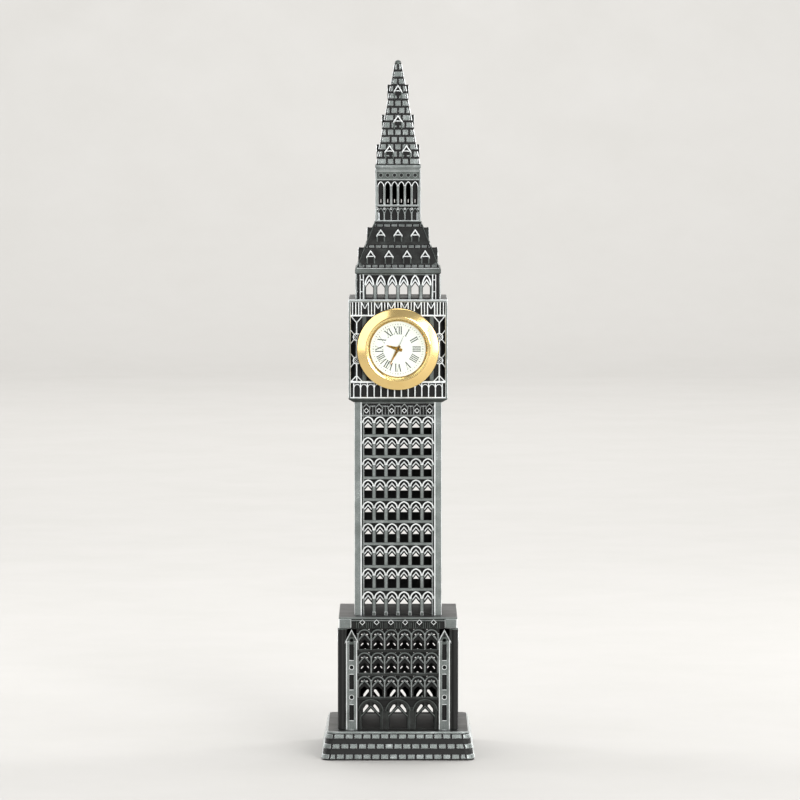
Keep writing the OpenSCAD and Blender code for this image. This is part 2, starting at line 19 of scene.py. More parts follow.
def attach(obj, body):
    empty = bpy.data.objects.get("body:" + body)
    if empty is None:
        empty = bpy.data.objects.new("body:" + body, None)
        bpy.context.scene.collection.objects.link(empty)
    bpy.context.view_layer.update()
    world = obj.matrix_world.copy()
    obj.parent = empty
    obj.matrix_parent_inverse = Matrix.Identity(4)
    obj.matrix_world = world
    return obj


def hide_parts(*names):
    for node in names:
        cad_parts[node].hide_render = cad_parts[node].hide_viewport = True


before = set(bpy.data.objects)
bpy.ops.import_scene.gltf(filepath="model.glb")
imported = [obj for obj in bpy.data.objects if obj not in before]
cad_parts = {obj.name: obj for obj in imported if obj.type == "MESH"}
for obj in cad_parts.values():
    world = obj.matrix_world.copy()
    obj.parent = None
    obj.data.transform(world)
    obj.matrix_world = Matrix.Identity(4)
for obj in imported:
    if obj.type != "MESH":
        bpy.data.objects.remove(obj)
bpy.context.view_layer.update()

log = logging.getLogger("clock_tower")

Point = tuple[float, float]
Outline = list[Point]
Box = tuple[float, float, float, float]
MM = 0.001
SKIN = 0.02


class Tone(Enum):
    """How far the patina has been rubbed off a surface, from 0, still black, to 1, bare metal. The blackest tone is
    also painted shade: it is laid on thin plates inside the tower that stand in for the shade there.
    """

    SOOT = 0.0
    DUSKY = 0.14
    DULL = 0.3
    WORN = 0.52
    RUBBED = 0.72
    EDGE = 1.0


SOOT, DUSKY, DULL, WORN, RUBBED, EDGE = Tone


class Side(Enum):
    """The four sides of the tower, as quarter turns from the front."""

    FRONT = 0
    RIGHT = 1
    BACK = 2
    LEFT = 3


class Lustre(Enum):
    """Which finish of a casting a face takes."""

    CAST = 0
    POLISHED = 1


def linear_colour(code: str) -> tuple[float, float, float, float]:
    """Turns an sRGB hex colour into the linear values a shader wants.

    Args:
        code: six hex digits, with or without a leading #.

    Returns:
        Linear red, green, blue and an alpha of 1.
    """
    digits = code.lstrip("#")
    channels = [int(digits[i : i + 2], 16) / 255 for i in (0, 2, 4)]
    red, green, blue = (c / 12.92 if c <= 0.04045 else ((c + 0.055) / 1.055) ** 2.4 for c in channels)
    return red, green, blue, 1.0


def per_mm(size: float) -> float:
    """Gives the texture scale at which one feature of a pattern is size millimetres."""
    return 1000.0 / size


def add_node(
    tree: bpy.types.NodeTree, kind: str, settings: dict | None = None, links: dict | None = None
) -> bpy.types.Node:
    """Adds one shader node with its settings and its incoming links.

    Args:
        tree: the material's node tree.
        kind: the node's type name.
        settings: attribute names, or input names or numbers, with their values.
        links: input names or numbers with the output socket that feeds each.

    Returns:
        The new node.
    """
    node = tree.nodes.new(kind)
    for key, value in (settings or {}).items():
        if isinstance(key, int) or key in node.inputs:
            node.inputs[key].default_value = value
        else:
            setattr(node, key, value)
    for key, socket in (links or {}).items():
        tree.links.new(socket, node.inputs[key])
    return node


def noise(
    tree: bpy.types.NodeTree, where: bpy.types.NodeSocket, size: float, detail: float, roughness: float = 0.5
) -> bpy.types.NodeSocket:
    """Adds a noise whose features are size millimetres across, and gives its value."""
    settings = {"Scale": per_mm(size), "Detail": detail, "Roughness": roughness}
    return add_node(tree, "ShaderNodeTexNoise", settings, {"Vector": where}).outputs["Fac"]


def remap(
    tree: bpy.types.NodeTree, value: bpy.types.NodeSocket, before: tuple[float, float], after: tuple[float, float]
) -> bpy.types.NodeSocket:
    """Adds a clamped change of range, and gives its value."""
    settings = {"From Min": before[0], "From Max": before[1], "To Min": after[0], "To Max": after[1]}
    return add_node(tree, "ShaderNodeMapRange", settings, {"Value": value}).outputs["Result"]


def blend(tree: bpy.types.NodeTree, share: bpy.types.NodeSocket, first: str, second: str) -> bpy.types.NodeSocket:
    """Adds a mix of two sRGB colours, and gives its colour."""
    settings = {"data_type": "RGBA", 6: linear_colour(first), 7: linear_colour(second)}
    return add_node(tree, "ShaderNodeMix", settings, {0: share}).outputs[2]


def bumped(
    tree: bpy.types.NodeTree, height: bpy.types.NodeSocket, strength: float, distance: float
) -> bpy.types.NodeSocket:
    """Adds a bump, its distance in metres, and gives its normal."""
    settings = {"Strength": strength, "Distance": distance}
    return add_node(tree, "ShaderNodeBump", settings, {"Height": height}).outputs["Normal"]


def fresh_material(name: str) -> tuple[bpy.types.Material, bpy.types.NodeTree, bpy.types.Node]:
    """Starts an empty node material.

    Args:
        name: the material's name.

    Returns:
        The material, its tree and its output node.
    """
    material = bpy.data.materials.new(name)
    material.use_nodes = True
    material.node_tree.nodes.clear()
    return material, material.node_tree, add_node(material.node_tree, "ShaderNodeOutputMaterial")


def centred_coordinates(tree: bpy.types.NodeTree, centre: Sequence[float], turn: float = 0.0) -> bpy.types.NodeSocket:
    """Object coordinates moved so that a pattern is centred on the piece.

    Args:
        tree: the material's node tree.
        centre: the pattern's middle, in metres.
        turn: a turn about the vertical, in radians.

    Returns:
        The vector socket.
    """
    place = add_node(tree, "ShaderNodeTexCoord")
    mapping = add_node(
        tree,
        "ShaderNodeMapping",
        {"vector_type": "TEXTURE", "Location": tuple(centre), "Rotation": (0.0, 0.0, turn)},
        {"Vector": place.outputs["Object"]},
    )
    return mapping.outputs["Vector"]


class Grain(Enum):
    """How a plain surface was made, which sets its fine pattern."""

    MOULDED = "moulded"
    TURNED = "turned"
    BRUSHED = "brushed"
    CAST = "cast"


@dataclass(frozen=True)
class AntiqueZinc:
    """Die-cast zinc, blackened and then rubbed back, under a thin satin lacquer.

    The eye sees matt near-black hollows, a grey sandy face where the casting skin shows through the
    patina, and silver-grey arrises polished by the rub. Cast grain is about 0.3 mm.
    """

    name: str = "antique_zinc_cast"
    hollow: str = "#0a0a09"
    skin: str = "#1d1d1c"
    face: str = "#515653"
    bright: str = "#757a78"
    arris: str = "#d6d9d8"
    grain_mm: float = 0.32
    blotch_mm: float = 5.5
    centre: tuple[float, float, float] = (0.0, 0.0, 0.11)

    def build(self) -> bpy.types.Material:
        """Builds the node material."""
        material, tree, output = fresh_material(self.name)
        where = centred_coordinates(tree, self.centre)
        relief = add_node(tree, "ShaderNodeAttribute", {"attribute_type": "GEOMETRY", "attribute_name": "relief"})
        grain = noise(tree, where, self.grain_mm, 4.0, 0.62)
        blotch = noise(tree, where, self.blotch_mm, 3.0, 0.55)
        spread = add_node(tree, "ShaderNodeMath", {"operation": "MULTIPLY_ADD", 1: 0.34, 2: -0.17}, {0: grain})
        drift = add_node(tree, "ShaderNodeMath", {"operation": "MULTIPLY_ADD", 1: 0.42, 2: -0.21}, {0: blotch})
        unevenness = add_node(tree, "ShaderNodeMath", {"operation": "ADD"}, {0: spread.outputs[0], 1: drift.outputs[0]})
        # The patina stays whole in the hollows, so they vary less than the rubbed faces.
        share = remap(tree, relief.outputs["Fac"], (0.0, 0.5), (0.22, 1.0))
        links = {0: unevenness.outputs[0], 1: share, 2: relief.outputs["Fac"]}
        wear = add_node(tree, "ShaderNodeMath", {"operation": "MULTIPLY_ADD"}, links).outputs[0]
        ramp = add_node(tree, "ShaderNodeValToRGB", links={"Fac": wear})
        stops = ((0.0, self.hollow), (0.28, self.skin), (0.55, self.face), (0.78, self.bright), (1.0, self.arris))
        bands = ramp.color_ramp.elements
        while len(bands) < len(stops):
            bands.new(0.5)
        for band, (place, colour) in zip(bands, stops):
            band.position = place
            band.color = linear_colour(colour)
        shader = add_node(
            tree,
            "ShaderNodeBsdfPrincipled",
            {"Specular IOR Level": 0.25},
            {
                "Base Color": ramp.outputs["Color"],
                "Metallic": remap(tree, wear, (0.1, 0.6), (0.25, 0.86)),
                "Roughness": remap(tree, wear, (0.0, 1.0), (0.58, 0.36)),
                "Normal": bumped(tree, grain, 0.42, 0.00007),
            },
        )
        tree.links.new(shader.outputs["BSDF"], output.inputs["Surface"])
        return material


@dataclass(frozen=True)
class PlainSurface:
    """A single-material surface: a plated, turned, brushed, cast or moulded skin.

    Two close colours are mixed by a soft cloud, the roughness varies with it, and a fine grain of the
    real size lifts the surface.
    """

    name: str
    colour: str
    shade: str
    metallic: float
    roughness: float
    roughness_swing: float
    grain: Grain
    grain_mm: float
    bump_mm: float
    cloud_mm: float = 6.0
    coat: float = 0.0
    sheen: float = 0.0
    centre: tuple[float, float, float] = (0.0, 0.0, 0.1811)

    def build(self) -> bpy.types.Material:
        """Builds the node material."""
        material, tree, output = fresh_material(self.name)
        where = centred_coordinates(tree, self.centre)
        cloud = noise(tree, where, self.cloud_mm, 4.0, 0.6)
        swing = (self.roughness - self.roughness_swing, self.roughness + self.roughness_swing)
        shader = add_node(
            tree,
            "ShaderNodeBsdfPrincipled",
            {
                "Metallic": self.metallic,
                "Coat Weight": self.coat,
                "Coat Roughness": 0.12,
                "Sheen Weight": self.sheen,
            },
            {
                "Base Color": blend(tree, cloud, self.colour, self.shade),
                "Roughness": remap(tree, cloud, (0.3, 0.7), swing),
                "Normal": bumped(tree, self._height(tree, where), 0.35, self.bump_mm * MM),
            },
        )
        tree.links.new(shader.outputs["BSDF"], output.inputs["Surface"])
        return material

    def _height(self, tree: bpy.types.NodeTree, where: bpy.types.NodeSocket) -> bpy.types.NodeSocket:
        """Adds the fine pattern that the making leaves.

        Args:
            tree: the material's node tree.
            where: the centred coordinates.

        Returns:
            The height socket.
        """
        if self.grain is Grain.TURNED:
            rings = add_node(
                tree,
                "ShaderNodeTexWave",
                {
                    "wave_type": "RINGS",
                    "rings_direction": "Y",
                    "Scale": per_mm(self.grain_mm) / 20.0,
                    "Distortion": 0.6,
                    "Detail": 2.0,
                },
                {"Vector": where},
            )
            return rings.outputs["Fac"]
        stretch = (1.0, 14.0, 1.0) if self.grain is Grain.BRUSHED else (1.0, 1.0, 1.0)
        drawn = add_node(tree, "ShaderNodeMapping", {"Scale": stretch}, {"Vector": where})
        return noise(tree, drawn.outputs["Vector"], self.grain_mm, 3.0, 0.6)


@dataclass(frozen=True)
class WoundCopper:
    """Enamelled copper wire wound on a bobbin: fine bright turns with darker gaps, 0.12 mm apart."""

    name: str = "copper_wire_wound"
    turn_mm: float = 0.12

    def build(self) -> bpy.types.Material:
        """Builds the node material."""
        material, tree, output = fresh_material(self.name)
        where = centred_coordinates(tree, (0.0, 0.0, 0.1811))
        turns = add_node(
            tree,
            "ShaderNodeTexWave",
            {"wave_type": "BANDS", "bands_direction": "X", "Scale": per_mm(self.turn_mm) / 20.0, "Distortion": 0.3},
            {"Vector": where},
        )
        tint = blend(tree, turns.outputs["Fac"], "#5a2410", "#c96f3a")
        bump = bumped(tree, turns.outputs["Fac"], 0.5, 0.00004)
        shader = add_node(
            tree,
            "ShaderNodeBsdfPrincipled",
            {"Metallic": 0.9, "Roughness": 0.32, "Coat Weight": 0.4},
            {"Base Color": tint, "Normal": bump},
        )
        tree.links.new(shader.outputs["BSDF"], output.inputs["Surface"])
        return material


@dataclass(frozen=True)
class PressedFelt:
    """Pressed wool felt: matt, dark green, with fibres about 0.25 mm across tangled both ways."""

    name: str = "pressed_wool_felt"
    fibre_mm: float = 0.25

    def build(self) -> bpy.types.Material:
        """Builds the node material."""
        material, tree, output = fresh_material(self.name)
        where = centred_coordinates(tree, (0.0, 0.0, 0.0006))
        fibres = add_node(
            tree,
            "ShaderNodeTexNoise",
            {"Scale": per_mm(self.fibre_mm), "Detail": 5.0, "Roughness": 0.7, "Distortion": 1.4},
            {"Vector": where},
        )
        tufts = add_node(
            tree, "ShaderNodeTexVoronoi", {"Scale": per_mm(self.fibre_mm * 3.0), "Randomness": 1.0}, {"Vector": where}
        )
        tint = blend(tree, fibres.outputs["Fac"], "#14261b", "#35553f")
        pile = add_node(
            tree,
            "ShaderNodeMath",
            {"operation": "MULTIPLY"},
            {0: fibres.outputs["Fac"], 1: tufts.outputs["Distance"]},
        )
        bump = bumped(tree, pile.outputs[0], 0.8, 0.0002)
        shader = add_node(
            tree,
            "ShaderNodeBsdfPrincipled",
            {"Roughness": 0.95, "Sheen Weight": 0.5, "Sheen Roughness": 0.6},
            {"Base Color": tint, "Normal": bump},
        )
        tree.links.new(shader.outputs["BSDF"], output.inputs["Surface"])
        return material


@dataclass(frozen=True)
class ClearCrystal:
    """Mineral glass, 0.9 mm thick: nearly invisible straight on, with soft reflections at its edges."""

    name: str = "mineral_glass_clear"

    def build(self) -> bpy.types.Material:
        """Builds the node material."""
        material, tree, output = fresh_material(self.name)
        where = centred_coordinates(tree, (0.0, -0.023, 0.1811))
        gloss = remap(tree, noise(tree, where, 9.0, 2.0), (0.3, 0.7), (0.02, 0.06))
        # The Fresnel node turns its index over on a back face, so that is turned over again: both faces reflect alike.
        facing = add_node(tree, "ShaderNodeNewGeometry")
        index = add_node(
            tree, "ShaderNodeMath", {
                "operation": "MULTIPLY_ADD", 1: 1 / 1.5 - 1.5, 2: 1.5
            }, {0: facing.outputs["Backfacing"]}
        )
        edge = add_node(tree, "ShaderNodeFresnel", links={"IOR": index.outputs["Value"]})
        clear = add_node(tree, "ShaderNodeBsdfTransparent", {"Color": linear_colour("#fbfdfc")})
        mirror = add_node(
            tree, "ShaderNodeBsdfGlossy", {"Color": linear_colour("#ffffff")}, {"Roughness": gloss}
        )
        mixed = add_node(
            tree,
            "ShaderNodeMixShader",
            links={0: edge.outputs["Fac"], 1: clear.outputs["BSDF"], 2: mirror.outputs["BSDF"]},
        )
        tree.links.new(mixed.outputs["Shader"], output.inputs["Surface"])
        return material


def in_a_row(count: int, pitch: float, z: float = 0.0) -> list[Matrix]:
    """Gives the places of a row of copies, centred on the middle, at a height."""
    return [Matrix.Translation((pitch * (i - (count - 1) / 2), 0, z)) for i in range(count)]


def rectangle(x0: float, z0: float, x1: float, z1: float) -> Outline:
    """Gives an upright rectangle as an outline."""
    return [(x0, z0), (x1, z0), (x1, z1), (x0, z1)]


def strip(start: Point, end: Point, width: float) -> Outline:
    """Gives a straight band as an outline.

    Args:
        start: the middle of one end.
        end: the middle of the other.
        width: the band's width.

    Returns:
        Its four corners.
    """
    along = (Vector(end) - Vector(start)).normalized()
    across = Vector((-along.y, along.x)) * width / 2
    return [
        tuple(Vector(start) - across),
        tuple(Vector(end) - across),
        tuple(Vector(end) + across),
        tuple(Vector(start) + across),
    ]


def chevron(x: float, apex: float, half: float, drop: float, width: float) -> Outline:
    """Gives an upside-down V of even thickness.

    Args:
        x: its middle.
        apex: the height of its upper point.
        half: how far each foot stands out.
        drop: how far the feet lie below the point.
        width: its thickness, measured upright.

    Returns:
        Its six corners.
    """
    return [
        (x - half, apex - drop),
        (x, apex),
        (x + half, apex - drop),
        (x + half, apex - drop - width),
        (x, apex - width),
        (x - half, apex - drop - width),
    ]


def gable(x: float, foot: float, width: float, eaves: float, apex: float) -> Outline:
    """Gives a house-shaped outline standing on foot, with its eaves and apex measured from there."""
    half = width / 2
    return [
        (x - half, foot),
        (x + half, foot),
        (x + half, foot + eaves),
        (x, foot + apex),
        (x - half, foot + eaves),
    ]


def diamond(x: float, z: float, reach: float) -> Outline:
    """Gives a square standing on its corner."""
    return [(x - reach, z), (x, z - reach), (x + reach, z), (x, z + reach)]


def disc_outline(x: float, z: float, radius: float, steps: int = 14) -> Outline:
    """Gives a circle as an outline of steps corners."""
    return [
        (x + radius * math.cos(2 * math.pi * i / steps), z + radius * math.sin(2 * math.pi * i / steps))
        for i in range(steps)
    ]


class Relief:
    """A casting's surface, drawn in millimetres as the front face sees it: x across, z up, depth out.

    Depth is the distance from the tower's axis, so a point at depth d lies at y = -d.
    """

    def __init__(self) -> None:
        """Starts an empty drawing with its wear layer."""
        self.bm = bmesh.new()
        self.bm.faces.layers.float.new("relief")

    def wear(self, faces: Iterable[bmesh.types.BMFace], tone: Tone) -> None:
        """Sets how far faces are rubbed."""
        layer = self.bm.faces.layers.float["relief"]
        for face in faces:
            face[layer] = tone.value

    def take(self, other: "Relief", *places: Matrix) -> None:
        """Copies another drawing into this one, once for each place, or once as it lies."""
        for place in places or (Matrix(),):
            mesh = bpy.data.meshes.new("draft")
            other.bm.to_mesh(mesh)
            mesh.transform(place)
            self.bm.from_mesh(mesh)
            bpy.data.meshes.remove(mesh)

    def _fold_in(
        self, part: "Relief", front: float, face: Tone, side: Tone, edge_faces: Iterable[bmesh.types.BMFace], edge: Tone
    ) -> None:
        """Tones a new solid by where its faces lie, and takes it in.

        Args:
            part: the new solid.
            front: the depth of its front.
            face: the tone of the front.
            side: the tone of everything else.
            edge_faces: its bevelled rim.
            edge: the tone of that rim.
        """
        part.wear(part.bm.faces, side)
        part.wear((f for f in part.bm.faces if all(abs(v.co.y + front) < 1e-4 for v in f.verts)), face)
        part.wear(edge_faces, edge)
        self.take(part)
        part.bm.free()

    def slab(
        self,
        outline: Outline,
        back: float,
        front: float,
        face: Tone = RUBBED,
        side: Tone = SOOT,
        rim: float = 0.1,
        edge: Tone = EDGE,
    ) -> None:
        """Raises an outline from back to front, with a bevelled front rim.

        Args:
            outline: its corners.
            back: the depth that it starts from.
            front: the depth that it reaches.
            face: the tone of its front.
            side: the tone of its flanks and back.
            rim: the bevel's width and height, or 0.
            edge: the tone of the bevel.
        """
        part = Relief()
        ground = part.bm.faces.new([part.bm.verts.new((x, -back, z)) for x, z in outline])
        raised = bmesh.ops.extrude_face_region(part.bm, geom=[ground])["geom"]
        verts = [g for g in raised if isinstance(g, bmesh.types.BMVert)]
        bmesh.ops.translate(part.bm, verts=verts, vec=(0, back - front + rim, 0))
        bevel: list[bmesh.types.BMFace] = []
        if rim:
            cap = [g for g in raised if isinstance(g, bmesh.types.BMFace)]
            bevel = bmesh.ops.inset_region(part.bm, faces=cap, thickness=rim, use_even_offset=True)["faces"]
            bmesh.ops.translate(part.bm, verts=list({v for f in cap for v in f.verts}), vec=(0, -rim, 0))
        self._fold_in(part, front, face, side, bevel, edge)

    def bar(self, corners: Box, back: float, front: float, *looks: Tone | float) -> None:
        """Raises an upright rectangle from back to front.

        Args:
            corners: its low x and z, and its high x and z.
            back: the depth that it starts from.
            front: the depth that it reaches.
            looks: slab's tones and rim, in its order.
        """
        self.slab(rectangle(*corners), back, front, *looks)

    def hoop(
        self,
        outline: Outline,
        width: float,
        back: float,
        front: float,
        face: Tone = EDGE,
        side: Tone = SOOT,
    ) -> None:
        """Raises only the border of an outline, as a closed moulding.

        Args:
            outline: its outer corners.
            width: the moulding's width.
            back: the depth that it starts from.
            front: the depth that it reaches.
            face: the tone of its front.
            side: the tone of its flanks.
        """
        middle = sum((Vector(corner) for corner in outline), Vector((0, 0))) / len(outline)
        keep = 1 - width / (Vector(outline[0]) - middle).length
        inner = [tuple(middle + (Vector(corner) - middle) * keep) for corner in outline]
        self.pierced(outline, [inner], back, front, face, side)

    def pierced(
        self,
        outline: Outline,
        holes: Sequence[Outline],
        back: float,
        front: float,
        face: Tone = RUBBED,
        side: Tone = SOOT,
    ) -> None:
        """Raises an outline with holes right through it.

        Args:
            outline: its outer corners.
            holes: the corners of each hole.
            back: the depth that it starts from.
            front: the depth that it reaches.
            face: the tone of its front.
            side: the tone of its flanks and back.
        """
        part = Relief()
        for loop in (outline, *holes):
            verts = [part.bm.verts.new((x, -back, z)) for x, z in loop]
            for one, other in zip(verts, verts[1:] + verts[:1]):
                part.bm.edges.new((one, other))
        bmesh.ops.triangle_fill(part.bm, edges=part.bm.edges[:], use_beauty=True, normal=(0, -1, 0))
        raised = bmesh.ops.extrude_face_region(part.bm, geom=part.bm.faces[:])["geom"]
        verts = [g for g in raised if isinstance(g, bmesh.types.BMVert)]
        bmesh.ops.translate(part.bm, verts=verts, vec=(0, back - front, 0))
        self._fold_in(part, front, face, side, [], face)

    def rib(
        self,
        x: float,
        spring: float,
        half: float,
        rise: float,
        width: float,
        back: float,
        front: float,
        face: Tone = EDGE,
        side: Tone = SOOT,
        steps: int = 4,
    ) -> None:
        """Spins an arch rib: pointed when it rises more than half its span, otherwise one round sweep.

        Args:
            x: the arch's middle.
            spring: the height that it springs from.
            half: half its span, to the middle of the rib.
            rise: its height, to the middle of the rib.
            width: the rib's width at its foot; its crest is narrower.
            back: the depth that it starts from.
            front: the depth of its crest.
            face: the tone of the crest.
            side: the tone of its flanks.
            steps: the straight lengths in each half.
        """
        pointed = rise > half * 1.02
        for hand in (-1, 1):
            if pointed:
                shift = (rise * rise - half * half) / (2 * half)
                centre = Vector((x - hand * shift, 0, spring))
                radius = half + shift
                sweep = math.atan2(rise, shift)
            else:
                radius = (half * half + rise * rise) / (2 * rise)
                centre = Vector((x, 0, spring + rise - radius))
                sweep = math.asin(min(1.0, half / radius)) if radius - rise > -1e-6 else math.pi / 2
            foot = Vector((x + hand * half, 0, spring)) - centre
            out = foot.normalized()
            part = Relief()
            section = [
                centre + out * (radius - width / 2) + Vector((0, -back, 0)),
                centre + out * (radius + width / 2) + Vector((0, -back, 0)),
                centre + out * (radius + width * 0.4) + Vector((0, -front, 0)),
                centre + out * (radius - width * 0.4) + Vector((0, -front, 0)),
            ]
            start = part.bm.faces.new([part.bm.verts.new(corner) for corner in section])
            bmesh.ops.spin(
                part.bm,
                geom=[start, *start.edges, *start.verts],
                cent=centre,
                axis=(0, -hand, 0),
                angle=sweep,
                steps=steps,
                use_duplicate=False,
            )
            self._fold_in(part, front, face, side, [], face)

    def turned_ring(self, profile: Sequence[Point], middle: Point, tone: Tone, steps: int = 96) -> None:
        """Spins a profile about an axis that runs out of the face, closing it unless it starts and ends on the axis.

        Args:
            profile: corners as (radius, depth).
            middle: the axis's place on the face.
            tone: the tone of all of it.
            steps: the facets round it.
        """
        part = Relief()
        x, z = middle
        corners = [part.bm.verts.new((x + radius, -depth, z)) for radius, depth in profile]
        pairs = list(zip(corners, corners[1:] + corners[:1]))
        if profile[0][0] == profile[-1][0] == 0:
            pairs.pop()
        edges = [part.bm.edges.new(pair) for pair in pairs]
        bmesh.ops.spin(
            part.bm, geom=corners + edges, cent=(
                x, 0, z
            ), axis=(0, 1, 0), angle=2 * math.pi, steps=steps, use_merge=True
        )
        bmesh.ops.remove_doubles(part.bm, verts=part.bm.verts[:], dist=1e-5)
        part.wear(part.bm.faces, tone)
        self.take(part)
        part.bm.free()

    def block(
        self,
        low: Sequence[float],
        high: Sequence[float],
        tone: Tone,
        edge: Tone = EDGE,
        bevel: float = 0.2,
        lustre_top: Lustre = Lustre.CAST,
    ) -> None:
        """Adds a square-cornered solid with worn arrises, in the tower's own axes.

        Args:
            low: its lowest corner.
            high: its highest corner.
            tone: the tone of its faces.
            edge: the tone of its arrises.
            bevel: the width of the worn arris.
            lustre_top: the finish of its top.
        """
        part = Relief()
        size = Vector(high) - Vector(low)
        middle = (Vector(high) + Vector(low)) / 2
        place = Matrix.Translation(middle) @ Matrix.Diagonal((*size, 1))
        bmesh.ops.create_cube(part.bm, size=1, matrix=place)
        worn = bmesh.ops.bevel(
            part.bm, geom=part.bm.edges[:], offset=bevel, segments=1, profile=0.5, affect="EDGES", material=-1
        )["faces"]
        part.wear(part.bm.faces, tone)
        part.wear(worn, edge)
        part.polish_tops(lustre_top, high[2])
        self.take(part)
        part.bm.free()

    def polish_tops(self, lustre: Lustre, height: float) -> None:
        """Gives the faces lying flat at a height another finish."""
        for face in self.bm.faces:
            if all(abs(v.co.z - height) < 1e-4 for v in face.verts):
                face.material_index = lustre.value

    def column(self, x: float, y: float, radius: float, z0: float, z1: float, tone: Tone) -> None:
        """Stands a round column with a worn head.

        Args:
            x: its middle.
            y: its middle.
            radius: its radius.
            z0: its foot.
            z1: its head.
            tone: the tone of its shaft.
        """
        part = Relief()
        place = Matrix.Translation((x, y, (z0 + z1) / 2))
        bmesh.ops.create_cone(
            part.bm, cap_ends=True, segments=16, radius1=radius, radius2=radius, depth=z1 - z0, matrix=place
        )
        ends = [e for e in part.bm.edges if abs(e.verts[0].co.z - e.verts[1].co.z) < 1e-6]
        worn = bmesh.ops.bevel(
            part.bm, geom=ends, offset=radius * 0.25, segments=1, profile=0.5, affect="EDGES", material=-1
        )["faces"]
        part.wear(part.bm.faces, tone)
        part.wear(worn, WORN)
        self.take(part)
        part.bm.free()

    def corner_piers(self, inner: float, outer: float, foot: float, head: float, bevel: float) -> None:
        """Stands a square pier with bright arrises on each corner.

        Args:
            inner: the distance of its inner sides from the axis.
            outer: the distance of its outer sides.
            foot: the height of its foot.
            head: the height of its head.
            bevel: the width of its worn arris.
        """
        for sx in (-1, 1):
            for sy in (-1, 1):
                low = (min(sx * inner, sx * outer), min(sy * inner, sy * outer), foot)
                high = (max(sx * inner, sx * outer), max(sy * inner, sy * outer), head)
                self.block(low, high, RUBBED, EDGE, bevel)

    def on_sides(self, drawing: "Relief", sides: Iterable[Side] = tuple(Side)) -> None:
        """Takes in a front-face drawing on each of the named sides."""
        self.take(drawing, *(Matrix.Rotation(side.value * math.pi / 2, 4, "Z") for side in sides))


